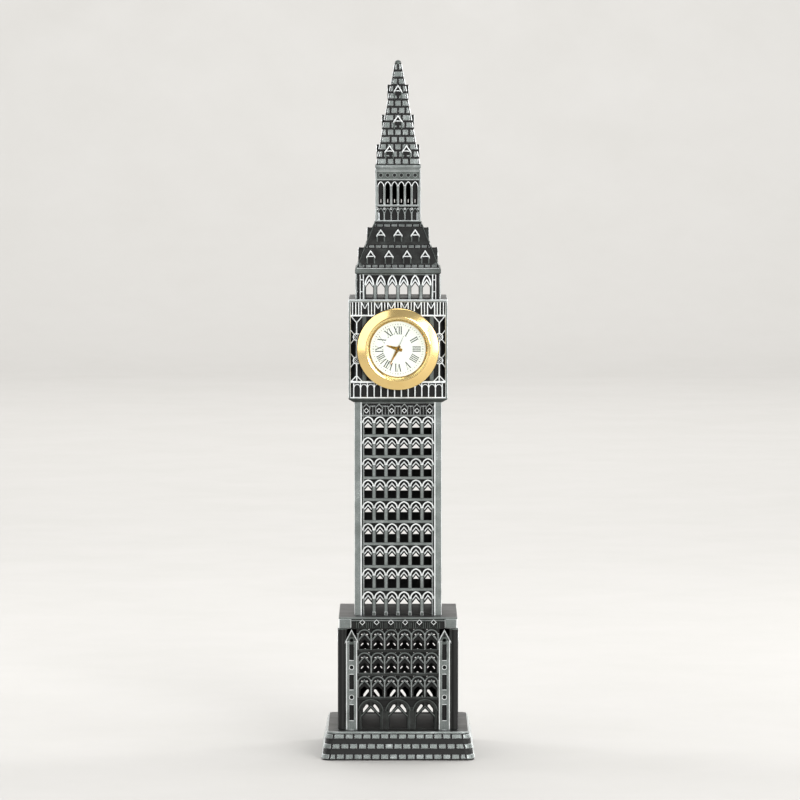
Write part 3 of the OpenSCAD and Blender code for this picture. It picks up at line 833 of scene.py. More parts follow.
@dataclass
class Masonry:
    """A tapering shell whose courses are cut into blocks and raised, with hips or rounded corners.

    Attributes:
        levels: heights with the half-width there, from the foot up.
        joints: for each course that has blocks, where its upright joints fall.
        gap: the width of a joint.
        lift: how far the blocks stand out.
        corner: the radius of its corners, or 0 for sharp hips.
        block_tone: the tone of the blocks' faces.
        ground_tone: the tone of plain courses.
        shell: the thickness of its wall at the foot.
    """

    levels: list[Point]
    joints: dict[int, list[float]]
    gap: float = 0.35
    lift: float = 0.3
    corner: float = 0.0
    block_tone: Tone = RUBBED
    ground_tone: Tone = DUSKY
    shell: float = 1.6

    def build(self) -> Relief:
        """Builds the shell.

        Returns:
            The drawing, already on all four sides.
        """
        part = Relief()
        bm = part.bm
        z0, half0 = self.levels[0]
        corners = [bm.verts.new((sx * half0, sy * half0, z0)) for sx, sy in ((-1, -1), (1, -1), (1, 1), (-1, 1))]
        bm.faces.new(corners)
        if self.corner:
            bmesh.ops.bevel(
                bm, geom=corners, offset=self.corner, segments=5, profile=0.5, affect="VERTICES", material=-1
            )
        top = bm.faces[:][0]
        for (_, before), (z, half) in zip(self.levels, self.levels[1:]):
            raised = bmesh.ops.extrude_face_region(bm, geom=[top])["geom"]
            top = next(g for g in raised if isinstance(g, bmesh.types.BMFace))
            for vert in top.verts:
                vert.co = Vector((vert.co.x * half / before, vert.co.y * half / before, z))
        bmesh.ops.recalc_face_normals(bm, faces=bm.faces[:])
        part.wear(bm.faces, self.ground_tone)
        for course, places in self.joints.items():
            self._cut(bm, course, places)
        bmesh.ops.recalc_face_normals(bm, faces=bm.faces[:])
        bm.normal_update()
        for course in self.joints:
            self._raise_blocks(part, course)
        self._hollow(bm)
        return part

    def in_course(self, face: bmesh.types.BMFace, course: int) -> bool:
        """Says whether a face belongs to the flank of a course."""
        low, high = self.levels[course][0], self.levels[course + 1][0]
        heights = [v.co.z for v in face.verts]
        return min(heights) > low - 1e-4 and max(heights) < high + 1e-4 and max(heights) - min(heights) > 1e-3

    def _cut(self, bm: bmesh.types.BMesh, course: int, places: list[float]) -> None:
        """Cuts the upright joints of one course into its four flanks."""
        for axis in (0, 1):
            for place in places:
                normal = Vector((1, 0, 0)) if axis == 0 else Vector((0, 1, 0))
                faces = [
                    f
                    for f in bm.faces
                    if self.in_course(f, course) and abs(f.normal[1 - axis]) > 0.9
                ]
                geom = list({g for f in faces for g in (f, *f.edges, *f.verts)})
                bmesh.ops.bisect_plane(bm, geom=geom, dist=1e-4, plane_co=normal * place, plane_no=normal)

    def _on_bend(self, face: bmesh.types.BMFace) -> bool:
        """Says whether a face lies on a rounded corner."""
        near, far = sorted((abs(face.calc_center_median().x), abs(face.calc_center_median().y)))
        return near > far - self.corner * 0.97

    def _raise_blocks(self, part: Relief, course: int) -> None:
        """Insets every block of a course, each rounded corner as one, and stands it out between the joints."""
        bm = part.bm
        faces = [f for f in bm.faces if self.in_course(f, course)]
        bends = [f for f in faces if self._on_bend(f)] if self.corner else []
        flats = [f for f in faces if f not in bends]
        part.wear(faces, SOOT)
        for thickness, depth, tone in ((self.gap / 2, 0.0, SOOT), (self.lift * 0.6, self.lift, EDGE)):
            rims = bmesh.ops.inset_individual(
                bm, faces=flats, thickness=thickness, depth=depth, use_even_offset=True
            )["faces"]
            for sx, sy in ((1, 1), (1, -1), (-1, 1), (-1, -1)):
                patch = [f for f in bends if f.normal.x * sx > 0 and f.normal.y * sy > 0]
                if patch:
                    rims += bmesh.ops.inset_region(
                        bm, faces=patch, thickness=thickness, depth=depth, use_even_offset=True
                    )["faces"]
            part.wear(rims, tone)
        part.wear(faces, self.block_tone)

    def _hollow(self, bm: bmesh.types.BMesh) -> None:
        """Pushes the floor up inside, so the casting is a shell."""
        z0, half0 = self.levels[0]
        z1, half1 = self.levels[-1]
        floor = min((f for f in bm.faces), key=lambda f: f.calc_center_median().z)
        bmesh.ops.inset_region(bm, faces=[floor], thickness=self.shell, use_even_offset=True)
        raised = bmesh.ops.extrude_face_region(bm, geom=[floor])["geom"]
        roof = next(g for g in raised if isinstance(g, bmesh.types.BMFace))
        if floor.is_valid:
            bmesh.ops.delete(bm, geom=[floor], context="FACES_ONLY")
        depth = (z1 - z0) * 0.8
        half_there = half0 + (half1 - half0) * 0.8 - self.shell
        shrink = max(0.1, half_there / (half0 - self.shell))
        for vert in roof.verts:
            vert.co = Vector((vert.co.x * shrink, vert.co.y * shrink, z0 + depth))


@dataclass(frozen=True)
class Dressing:
    """The two finishes that a casting takes, and a slot name that nothing in the script reads."""

    cast: bpy.types.Material
    polished: bpy.types.Material
    slot: str


def make_piece(
    drawing: Relief,
    name: str,
    materials: Sequence[bpy.types.Material],
    body: str,
    nodes: Sequence[str],
    smooth_deg: float = 0.0,
) -> bpy.types.Object:
    """Turns a drawing into a finished piece in metres and hangs it on its body.

    Args:
        drawing: the drawing, in millimetres.
        name: the piece's name.
        materials: its finishes, in order.
        body: the body that it rides on.
        nodes: the CAD nodes that it stands for.
        smooth_deg: the angle below which facets are shaded as one curve, or 0 for flat facets.

    Returns:
        The new object.
    """
    bm = drawing.bm
    bmesh.ops.dissolve_degenerate(bm, dist=1e-5, edges=bm.edges[:])
    bmesh.ops.recalc_face_normals(bm, faces=bm.faces[:])
    mesh = bpy.data.meshes.new(name)
    bmesh.ops.scale(bm, vec=(MM, MM, MM), verts=bm.verts[:])
    bm.to_mesh(mesh)
    bm.free()
    for material in materials:
        mesh.materials.append(material)
    if smooth_deg:
        mesh.polygons.foreach_set("use_smooth", [True] * len(mesh.polygons))
        mesh.set_sharp_from_angle(angle=math.radians(smooth_deg))
    piece = bpy.data.objects.new(name, mesh)
    bpy.context.scene.collection.objects.link(piece)
    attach(piece, body)
    if nodes:
        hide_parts(*nodes)
    log.info("%s: %d faces on %s", name, len(mesh.polygons), body)
    return piece


class Casting:
    """One casting of the tower, which becomes one piece on the tower's body."""

    piece: str = ""
    node: str = ""

    def drawing(self) -> Relief:
        """Draws the casting, on all four sides."""
        raise NotImplementedError

    def build(self, dress: Dressing) -> bpy.types.Object:
        """Builds the casting.

        Args:
            dress: its finishes.

        Returns:
            The piece.
        """
        return make_piece(self.drawing(), self.piece, (dress.cast, dress.polished), "tower", (self.node,))


class Tapered(Casting):
    """A casting whose sides lean in evenly."""

    def half_at(self, z: float) -> float:
        """Gives its half-width at a height."""
        return self.half_foot + (self.half_head - self.half_foot) * (z - self.foot) / (self.head - self.foot)


@dataclass
class BasePlinth(Tapered):
    """The splayed square base: three courses of raised blocks between plain bands, and a polished top."""

    piece: str = "plinth_casting"
    node: str = "base_plinth"
    half_foot: float = 34.0
    half_head: float = 31.6
    foot: float = 0.3
    head: float = 12.5
    corner: float = 3.4
    block_pitch: float = 3.91
    lift: float = 0.35

    def drawing(self) -> Relief:
        """Draws it on all four sides."""
        heights = [self.foot, 3.05, 4.75, 7.55, 9.1, 11.75, self.head]
        even = [i * self.block_pitch for i in range(-7, 8)]
        odd = [(i + 0.5) * self.block_pitch for i in range(-7, 7)]
        masonry = Masonry(
            levels=[(z, self.half_at(z) - self.lift) for z in heights],
            joints={
                0: [x for x in even if abs(x) < 27.6],
                2: [x for x in odd if abs(x) < 26.0],
                4: [x for x in even if abs(x) < 24.0],
            },
            gap=0.8,
            lift=self.lift,
            corner=self.corner,
            ground_tone=DUSKY,
            shell=2.2,
        )
        drawing = masonry.build()
        top = [f for f in drawing.bm.faces if all(abs(v.co.z - self.head) < 1e-3 for v in f.verts)]
        # The tread is proud of the courses: a narrow bright lip runs round it.
        lip = bmesh.ops.inset_region(drawing.bm, faces=top, thickness=0.35, use_even_offset=True)["faces"]
        bmesh.ops.translate(drawing.bm, verts=list({v for f in top for v in f.verts}), vec=(0, 0, 0.04))
        drawing.wear(lip, EDGE)
        # Painted highlight: the top band is made brighter than the plain bands below it, for light falling from above.
        drawing.wear((f for f in drawing.bm.faces if masonry.in_course(f, 5)), RUBBED)
        for face in top:
            face.material_index = Lustre.POLISHED.value
        return drawing


@dataclass
class LowerStage(Casting):
    """The openwork podium: three rows of pierced arches over three large ones, gabled buttresses and corner columns."""

    piece: str = "lower_stage_casting"
    node: str = "lower_stage"
    foot: float = 12.5
    head: float = 62.6
    half: float = 26.8
    back: float = 24.2
    face: float = 26.0
    pitch: float = 5.93
    buttress_x: float = 20.5

    def arcade_row(self, sill: float, crown: float) -> Relief:
        """Draws one row of six pierced arches.

        Args:
            sill: the height of its sill.
            crown: the height of its arches.

        Returns:
            The row.
        """
        row, bay = Relief(), Relief()
        half = self.pitch / 2
        rise = 2.35
        spring = crown - rise - 0.2
        bay.rib(0, spring, half - 0.18, rise, 0.56, self.back + 0.5, self.face, RUBBED, DUSKY, 5)
        bay.slab(chevron(0, crown - 1.55, 2.4, 2.75, 0.75), self.back + 0.3, self.face - 0.35, RUBBED, SOOT, 0.07)
        # The mould tapers inwards, so behind the wide arch only a small light and a few slits go right through.
        holes = [[(-1.9, sill + 0.15), (1.9, sill + 0.15), (1.9, crown - 6.2), (0, crown - 4.5), (-1.9, crown - 6.2)]]
        for s in (-1, 1):
            leaf = [(0.85, 2.15), (1.25, 2.15), (2.0, 3.1), (1.9, 3.45), (1.4, 3.35), (0.85, 2.5)]
            holes.append([(s * x, crown - drop) for x, drop in leaf])
            holes.append([(s * 1.3, crown + 0.05), (s * 2.5, crown + 0.05), (s * 2.5, crown - 0.75)])
        bay.pierced(rectangle(-half, sill - 0.2, half, crown + 0.3), holes, self.back, self.back + 0.6, SOOT)
        row.take(bay, *in_a_row(6, self.pitch))
        post, line = Relief(), Relief()
        post.bar((-0.62, sill - 0.1, 0.62, spring + 0.5), self.back, self.face - 0.35, DULL, SOOT, 0.2, DULL)
        line.bar((-0.24, sill, 0.24, spring + 0.75), self.face - 0.5, self.face + 0.05, RUBBED, DUSKY, 0.1, EDGE)
        places = in_a_row(7, self.pitch)
        row.take(post, *places)
        row.take(line, *places)
        return row

    def great_arch(self) -> Relief:
        """Draws one of the three large arches with its pair of leaf-shaped piercings."""
        arch = Relief()
        arch.rib(0, 21.0, 4.75, 4.5, 1.5, self.back, self.face - 0.05, DULL, SOOT, 7)
        arch.rib(0, 21.0, 5.4, 5.1, 0.36, self.face - 0.5, self.face + 0.15, WORN, DUSKY, 7)
        arch.slab(chevron(0, 23.4, 4.5, 4.7, 1.35), self.back, self.face - 0.5, DULL, SOOT, 0.2, DULL)
        arch.slab(chevron(0, 23.3, 4.4, 4.6, 0.42), self.back, self.face - 0.3, RUBBED, SOOT, 0.06, WORN)
        arch.bar((-0.7, 22.6, 0.7, 25.6), self.back, self.face - 0.45, DULL, SOOT, 0.2, DULL)
        holes = [[(-3.8, 13.2), (3.8, 13.2), (3.8, 18.0), (0, 21.95), (-3.8, 18.0)]]
        for s in (-1, 1):
            leaf = [(1.0, 23.0), (1.45, 23.75), (2.1, 23.6), (3.5, 21.6), (3.8, 20.1), (3.3, 20.1), (2.1, 21.6)]
            holes.append([(s * x, z) for x, z in leaf])
        arch.pierced(rectangle(-6.0, self.foot, 6.0, 26.0), holes, self.back, self.back + 0.6, SOOT)
        for hand in (-1, 1):
            arch.bar(
                (hand * 4.75 - 0.55, self.foot, hand * 4.75 + 0.55, 21.8),
                self.back,
                self.face - 0.05,
                DULL,
                SOOT,
                0.25,
                WORN,
            )
        return arch

    def buttress(self) -> Relief:
        """Draws a gabled buttress with sunk panels and pierced roundels."""
        drawing = Relief()
        core, front = 25.2, 26.35
        drawing.bar((-2.45, self.foot, 2.45, 52.0), self.back, core, SOOT, SOOT, 0)
        for hand in (-1, 1):
            drawing.bar((hand * 1.75 - 0.7, self.foot, hand * 1.75 + 0.7, 52.2), self.back, front, RUBBED, DUSKY, 0.12)
            drawing.bar(
                (hand * 2.2 - 0.25, self.foot + 0.3, hand * 2.2 + 0.25, 52.2),
                front - 0.2,
                front + 0.2,
                EDGE,
                DUSKY,
                0.08,
            )
        for low, high, eye in ((self.foot, 16.7, None), (23.9, 30.4, 27.15), (37.4, 43.5, 40.45)):
            holes = [disc_outline(0, eye, 0.85)] if eye else []
            drawing.pierced(rectangle(-1.06, low, 1.06, high), holes, self.back, front - 0.04, RUBBED)
            if eye:
                drawing.hoop(disc_outline(0, eye, 1.15), 0.26, front - 0.2, front + 0.12, EDGE)
            for z in (low, high):
                drawing.slab(strip((-1.0, z), (1.0, z), 0.28), front - 0.2, front + 0.06, EDGE, DUSKY, 0.06)
        drawing.pierced(
            [(-2.5, 50.6), (2.5, 50.6), (2.6, 51.6), (0, 56.4), (-2.6, 51.6)],
            [disc_outline(0, 52.45, 0.8)],
            self.back,
            front - 0.35,
            WORN,
        )
        drawing.slab([(-0.75, 53.9), (0.75, 53.9), (0, 55.4)], front - 0.5, front - 0.22, SOOT, SOOT, 0)
        drawing.slab(chevron(0, 57.35, 2.96, 5.6, 0.95), self.back, 26.75, EDGE, DUSKY, 0.14)
        return drawing

    def frieze(self) -> Relief:
        """Draws the band of lozenges under the deck."""
        band = Relief()
        band.bar((-20.7, 57.3, 20.7, 62.1), self.back, 25.1, DUSKY, SOOT, 0)
        band.bar((-20.7, 60.95, 20.7, 61.35), 25.0, 25.9, RUBBED, SOOT, 0.1)
        band.bar((-20.7, 57.35, 20.7, 57.75), 25.0, 25.55, DULL, SOOT, 0.1, DULL)
        lozenge, bars = Relief(), Relief()
        lozenge.slab(diamond(0, 60.45, 0.95), 25.0, 26.02, SOOT, SOOT, 0)
        lozenge.hoop(diamond(0, 60.45, 1.3), 0.36, 25.0, 26.18, EDGE)
        for x in (-2.6, -1.75, 1.75, 2.6):
            bars.slab(strip((x, 57.7), (x, 60.4), 0.42), 25.0, 25.6, WORN, SOOT, 0.1, WORN)
        bars.slab(strip((0, 57.7), (0, 59.2), 0.5), 25.0, 25.5, DULL, SOOT, 0.1, WORN)
        bars.slab(chevron(0, 59.0, 1.5, 1.3, 0.4), 25.0, 25.55, DULL, SOOT, 0.1, WORN)
        places = in_a_row(6, 6.3)
        band.take(lozenge, *places)
        band.take(bars, *places)
        return band

    def one_face(self) -> Relief:
        """Draws a whole side."""
        side = Relief()
        for sill, crown in ((48.3, 57.3), (37.8, 47.0), (27.1, 36.5)):
            side.take(self.arcade_row(sill, crown))
        for low, high in ((47.0, 48.35), (36.5, 37.85), (25.9, 27.15)):
            side.bar((-18.2, low, 18.2, high), self.back, self.face - 0.2, DULL, SOOT, 0.25, WORN)
        side.take(self.great_arch(), *in_a_row(3, 12.0))
        for x in (-6.0, 6.0):
            side.bar((x - 1.5, self.foot, x + 1.5, 22.6), self.back, self.face - 0.25, DULL, SOOT, 0.3, DULL)
            side.slab([(x - 3.2, 26.2), (x, 21.8), (x + 3.2, 26.2)], self.back, self.face - 0.9, SOOT, SOOT, 0)
        side.bar((-18.3, self.foot, -16.9, 57.4), self.back, self.face - 0.6, DUSKY, SOOT, 0)
        side.bar((16.9, self.foot, 18.3, 57.4), self.back, self.face - 0.6, DUSKY, SOOT, 0)
        side.bar((-18.2, self.foot, 18.2, 13.1), self.back, self.face - 0.15, DUSKY, SOOT, 0.2, DULL)
        side.take(self.buttress(), *in_a_row(2, 2 * self.buttress_x))
        side.take(self.frieze())
        return side

    def drawing(self) -> Relief:
        """Draws it on all four sides."""
        whole = Relief()
        whole.on_sides(self.one_face())
        for sx in (-1, 1):
            for sy in (-1, 1):
                whole.column(sx * 24.85, sy * 24.85, 1.75, self.foot, 57.6, DUSKY)
                whole.column(sx * 23.3, sy * 25.5, 0.75, self.foot, 57.5, DULL)
                whole.column(sx * 25.5, sy * 23.3, 0.75, self.foot, 57.5, DULL)
        whole.corner_piers(20.6, 26.15, 57.6, 62.05, 0.45)
        whole.block((-26.2, -26.2, 61.75), (26.2, 26.2, self.head), RUBBED, RUBBED, 0.25, Lustre.POLISHED)
        # Painted shade: a thin black plate on the plinth's top inside the stage, standing in for the shade under the
        # arcades.
        whole.block((-24.1, -24.1, self.foot), (24.1, 24.1, self.foot + 0.3), SOOT, SOOT, 0.05)
        return whole


@dataclass
class Shaft(Casting):
    """The tall shaft: nine rows of six narrow windows under pointed ribs, between plain corner piers."""

    piece: str = "shaft_casting"
    node: str = "shaft"
    foot: float = 62.6
    head: float = 157.5
    half: float = 19.3
    back: float = 17.5
    pitch: float = 5.3
    rows: int = 9

    def sill(self, row: int) -> float:
        """Gives the height of a row's sill; the rows close up a little towards the top."""
        return 64.4 + 10.365 * row - 0.075 * row * (row - 1)

    def bay(self) -> Relief:
        """Draws one window, with its sill at height 0 and its middle at 0."""
        bay = Relief()
        half, top = self.pitch / 2, 8.35
        bay.slab(
            [(-half, 3.55), (-1.5, 3.55), (0, 5.3), (1.5, 3.55), (half, 3.55), (half, top + 0.1), (-half, top + 0.1)],
            self.back,
            18.2,
            SOOT,
            SOOT,
            0,
        )
        bay.slab(chevron(0, 6.95, 1.6, 1.8, 0.7), 18.0, 18.95, EDGE, SOOT, 0.07)
        bay.rib(0, 5.3, half - 0.28, top - 0.25 - 5.3, 0.68, 18.0, 19.25, EDGE, DUSKY, 4)
        return bay

    def mullion(self) -> Relief:
        """Draws one length of mullion, grey in the middle with bright arrises."""
        post = Relief()
        post.bar((-0.92, -0.1, 0.92, 5.5), self.back, 18.75, SOOT, SOOT, 0)
        post.bar((-0.74, -0.1, 0.74, 5.6), 18.5, 19.05, RUBBED, SOOT, 0.2, RUBBED)
        return post

    def frieze(self) -> Relief:
        """Draws the band of chevrons and lozenges at the head."""
        band, unit = Relief(), Relief()
        band.bar((-16.5, 151.0, 16.5, 157.5), self.back, 18.3, SOOT, SOOT, 0)
        band.bar((-16.2, 151.05, 16.2, 151.75), 18.2, 19.15, RUBBED, SOOT, 0.15)
        band.bar((-16.2, 156.9, 16.2, 157.5), 18.2, 19.1, WORN, SOOT, 0.12)
        unit.hoop(diamond(0, 153.6, 1.2), 0.34, 18.2, 19.2, EDGE)
        unit.slab(chevron(0, 156.75, 1.75, 1.75, 0.5), 18.2, 19.15, RUBBED, SOOT, 0.12)
        for hand in (-1, 1):
            unit.slab(strip((hand * 1.4, 151.8), (hand * 1.4, 154.6), 0.34), 18.2, 18.95, RUBBED, SOOT, 0.1)
            unit.bar((hand * 2.2 - 0.6, 155.35, hand * 2.2 + 0.6, 155.8), 18.2, 19.0, RUBBED, SOOT, 0.1)
            unit.slab(strip((hand * 2.78, 151.8), (hand * 2.78, 155.3), 0.3), 18.2, 18.9, WORN, SOOT, 0.08)
        band.take(unit, *in_a_row(6, 5.58))
        return band

    def one_face(self) -> Relief:
        """Draws a whole side."""
        side = Relief()
        bay, post = self.bay(), self.mullion()
        for row in range(self.rows):
            z = self.sill(row)
            tall = Matrix.Diagonal((1, 1, (self.sill(row + 1) - z) / 9.55, 1))
            side.take(bay, *(place @ tall for place in in_a_row(6, self.pitch, z)))
            side.take(post, *(place @ tall for place in in_a_row(5, self.pitch, z)))
            if row:
                side.bar((-15.5, z - 1.25, 15.5, z), self.back, 18.95, RUBBED, SOOT, 0.2, RUBBED)
        for i in range(-2, 3):
            x = self.pitch * i
            side.bar((x - 0.74, self.foot, x + 0.74, self.sill(0) - 0.12), self.back, 19.04, WORN, SOOT, 0.2)
        side.bar((-16.5, self.foot, 16.5, self.foot + 0.6), self.back, 18.7, SOOT, SOOT, 0)
        for hand in (-1, 1):
            x = hand * 15.7
            side.bar((x - 0.8, self.foot, x + 0.8, 151.2), self.back, 18.3, SOOT, SOOT, 0)
            x = hand * 15.22
            side.bar((x - 0.24, self.foot, x + 0.24, 151.2), 18.2, 19.0, RUBBED, SOOT, 0.1)
            x = hand * 16.2
            side.bar((x - 0.26, self.foot, x + 0.26, 157.4), 18.2, 19.28, EDGE, DUSKY, 0.12)
        side.take(self.frieze())
        return side

    def drawing(self) -> Relief:
        """Draws it on all four sides."""
        whole = Relief()
        whole.on_sides(self.one_face())
        whole.corner_piers(16.4, self.half, self.foot, self.head, 0.22)
        # Painted shade: a thin black plate across the shaft's floor, standing in for the shade inside it.
        whole.block((-17.6, -17.6, self.foot), (17.6, 17.6, self.foot + 0.3), SOOT, SOOT, 0.05)
        return whole


@dataclass
class ClockStage(Casting):
    """The clock storey: a bore for the clock in front, blind dials on the other sides, and line tracery round them."""

    piece: str = "clock_stage_casting"
    node: str = "clock_stage"
    foot: float = 157.5
    head: float = 202.8
    half: float = 21.9
    ground: float = 20.9
    back: float = 19.1
    clock_z: float = 181.1
    bore: float = 16.5
    bore_depth: float = 9.5
    slot_half: float = 1.6
    slot_reach: float = 17.6
    slot_depth: float = 4.1
    collar: float = 18.2
    pitch: float = 5.83

    def m_band(self) -> Relief:
        """Draws the top band of M-shaped tracery."""
        band, unit = Relief(), Relief()
        low, high = self.ground - 0.1, self.half - 0.15
        for hand in (-1, 1):
            unit.bar((hand * 1.57 - 0.26, 196.0, hand * 1.57 + 0.26, 201.75), low, high, EDGE, SOOT, 0.07)
            unit.slab(strip((hand * 1.5, 201.6), (0, 198.8), 0.44), low, high - 0.05, EDGE, SOOT, 0.07)
        unit.slab(strip((0, 201.7), (0, 200.3), 0.5), low, high - 0.25, WORN, SOOT, 0.07)
        band.take(unit, *in_a_row(6, self.pitch))
        for x in [self.pitch * i for i in range(-2, 3)] + [s * v for s in (-1, 1) for v in (17.3, 18.6, 20.0)]:
            band.bar((x - 0.24, 196.0, x + 0.24, 201.75), low, high - 0.1, EDGE, SOOT, 0.07)
        return band

    def margin(self) -> Relief:
        """Draws the tracery that climbs beside the clock, on the right-hand side."""
        strip_out = Relief()
        low, high = self.ground - 0.1, self.half - 0.15
        x = 18.2
        strip_out.bar((x - 0.3, 167.0, x + 0.3, 192.9), low, high - 0.1, EDGE, SOOT, 0.07)
        for z in (186.4, 176.0):
            strip_out.slab(disc_outline(x, z, 1.45, 12), low, high - 0.02, SOOT, SOOT, 0)
            strip_out.hoop(disc_outline(x, z, 1.75, 12), 0.42, low, high + 0.08, EDGE)
            for dx, dz in ((-0.62, 0), (0.62, 0), (0, -0.62), (0, 0.62)):
                strip_out.hoop(disc_outline(x + dx, z + dz, 0.55, 8), 0.16, low, high + 0.04, EDGE)
            for hand in (-1, 1):
                for rise in (-1, 1):
                    strip_out.slab(
                        strip((x + hand * 1.2, z + rise * 1.2), (x + hand * 2.75, z + rise * 3.1), 0.38),
                        low,
                        high - 0.12,
                        EDGE,
                        SOOT,
                        0.1,
                    )
        for hand in (-1, 1):
            strip_out.slab(strip((x, 192.6), (x + hand * 2.5, 195.6), 0.46), low, high - 0.05, EDGE, SOOT, 0.07)
            strip_out.slab(strip((x, 169.3), (x + hand * 2.5, 166.7), 0.46), low, high - 0.05, EDGE, SOOT, 0.07)
        strip_out.bar((13.9, 166.9, 15.7, 195.5), low, high - 0.3, WORN, SOOT, 0.16, RUBBED)
        return strip_out

    def blind_arcade(self) -> Relief:
        """Draws the row of small blind arches at the foot."""
        row, unit = Relief(), Relief()
        low, high = self.ground - 0.1, self.half - 0.2
        unit.rib(1.5, 164.1, 1.32, 1.35, 0.36, low, high, EDGE, SOOT, 3)
        unit.bar((-0.26, 159.7, 0.26, 165.9), low, high + 0.02, EDGE, SOOT, 0.07)
        row.take(unit, *(Matrix.Translation((3.0 * i - 19.5, 0, 0)) for i in range(13)))
        row.bar((19.24, 159.7, 19.76, 165.9), low, high, EDGE, SOOT, 0.07)
        return row

    def one_face(self) -> Relief:
        """Draws what every side has; on the front, it still runs on inside the clock's bore."""
        side = Relief()
        side.take(self.m_band())
        margin = self.margin()
        side.take(margin, Matrix(), Matrix.Scale(-1, 4, (1, 0, 0)))
        side.take(self.blind_arcade())
        for z0, z1 in ((195.4, 196.15), (166.0, 166.95), (159.2, 159.85)):
            side.bar((-21.0, z0, 21.0, z1), self.ground - 0.1, 21.85, EDGE, SOOT, 0.15)
        return side

    def slotted_bore(self) -> Outline:
        """Gives the bore's outline, with a slot on the right that leaves room for the crown."""
        start = math.asin(self.slot_half / self.bore)
        turns = [start + i * (math.pi - start) / 48 for i in range(97)]
        curve = [(self.bore * math.cos(turn), self.clock_z + self.bore * math.sin(turn)) for turn in turns]
        corners = [(self.slot_reach, self.clock_z + hand * self.slot_half) for hand in (-1, 1)]
        return [*curve, *corners]

    def blind_dial(self) -> Relief:
        """Draws the cast dial that stands in for a clock on the plain sides."""
        dial = Relief()
        middle = (0.0, self.clock_z)
        dial.turned_ring([(0.0, 20.8), (14.7, 20.8), (14.7, 21.3), (0.0, 21.3)], middle, WORN, 64)
        dial.turned_ring(
            [(14.4, 20.8), (16.3, 20.8), (16.3, 21.3), (15.6, 21.95), (15.0, 21.95), (14.4, 21.5)], middle, RUBBED, 64
        )
        dial.turned_ring([(9.6, 21.2), (10.1, 21.2), (10.1, 21.6), (9.6, 21.6)], middle, EDGE, 64)
        dial.turned_ring([(0.0, 21.2), (1.5, 21.2), (1.2, 21.75), (0.0, 21.85)], middle, EDGE, 24)
        mark = Relief()
        mark.bar((-0.42, 10.4, 0.42, 13.8), 21.2, 21.62, EDGE, DULL, 0.12)
        centre = Matrix.Translation((0, 0, self.clock_z))
        dial.take(mark, *(centre @ Matrix.Rotation(i * math.pi / 6, 4, "Y") for i in range(12)))
        return dial

    def drawing(self) -> Relief:
        """Draws it on all four sides."""
        whole = Relief()
        whole.on_sides(self.one_face())
        whole.on_sides(self.blind_dial(), (Side.RIGHT, Side.BACK, Side.LEFT))
        wall = Relief()
        wall.bar((-self.ground, 159.0, self.ground, 202.0), self.back, self.ground, SOOT, SOOT, 0)
        whole.on_sides(wall, (Side.RIGHT, Side.BACK, Side.LEFT))
        front = Relief()
        front.pierced(
            rectangle(-self.ground, 159.0, self.ground, 202.0),
            [disc_outline(0, self.clock_z, self.slot_reach + 0.05, 72)],
            self.back,
            self.ground,
            SOOT,
        )
        inner = self.half - self.bore_depth
        step = self.half - self.slot_depth
        tube = [(self.bore, step), (self.bore, inner), (self.collar, inner), (self.collar, step)]
        front.turned_ring(tube, (0.0, self.clock_z), DULL)
        rim = disc_outline(0, self.clock_z, self.collar, 96)
        front.pierced(rim, [self.slotted_bore()], step, self.half - 0.06, DULL, DULL)
        whole.on_sides(front, (Side.FRONT,))
        whole.corner_piers(20.8, self.half, 159.1, 202.0, 0.22)
        whole.block((-21.9, -21.9, 201.7), (21.9, 21.9, self.head), RUBBED, EDGE, 0.22, Lustre.POLISHED)
        corbel = Masonry([(self.foot, 19.7), (158.7, 21.6), (159.25, 21.9)], {}, ground_tone=WORN, shell=1.6).build()
        whole.take(corbel)
        return whole


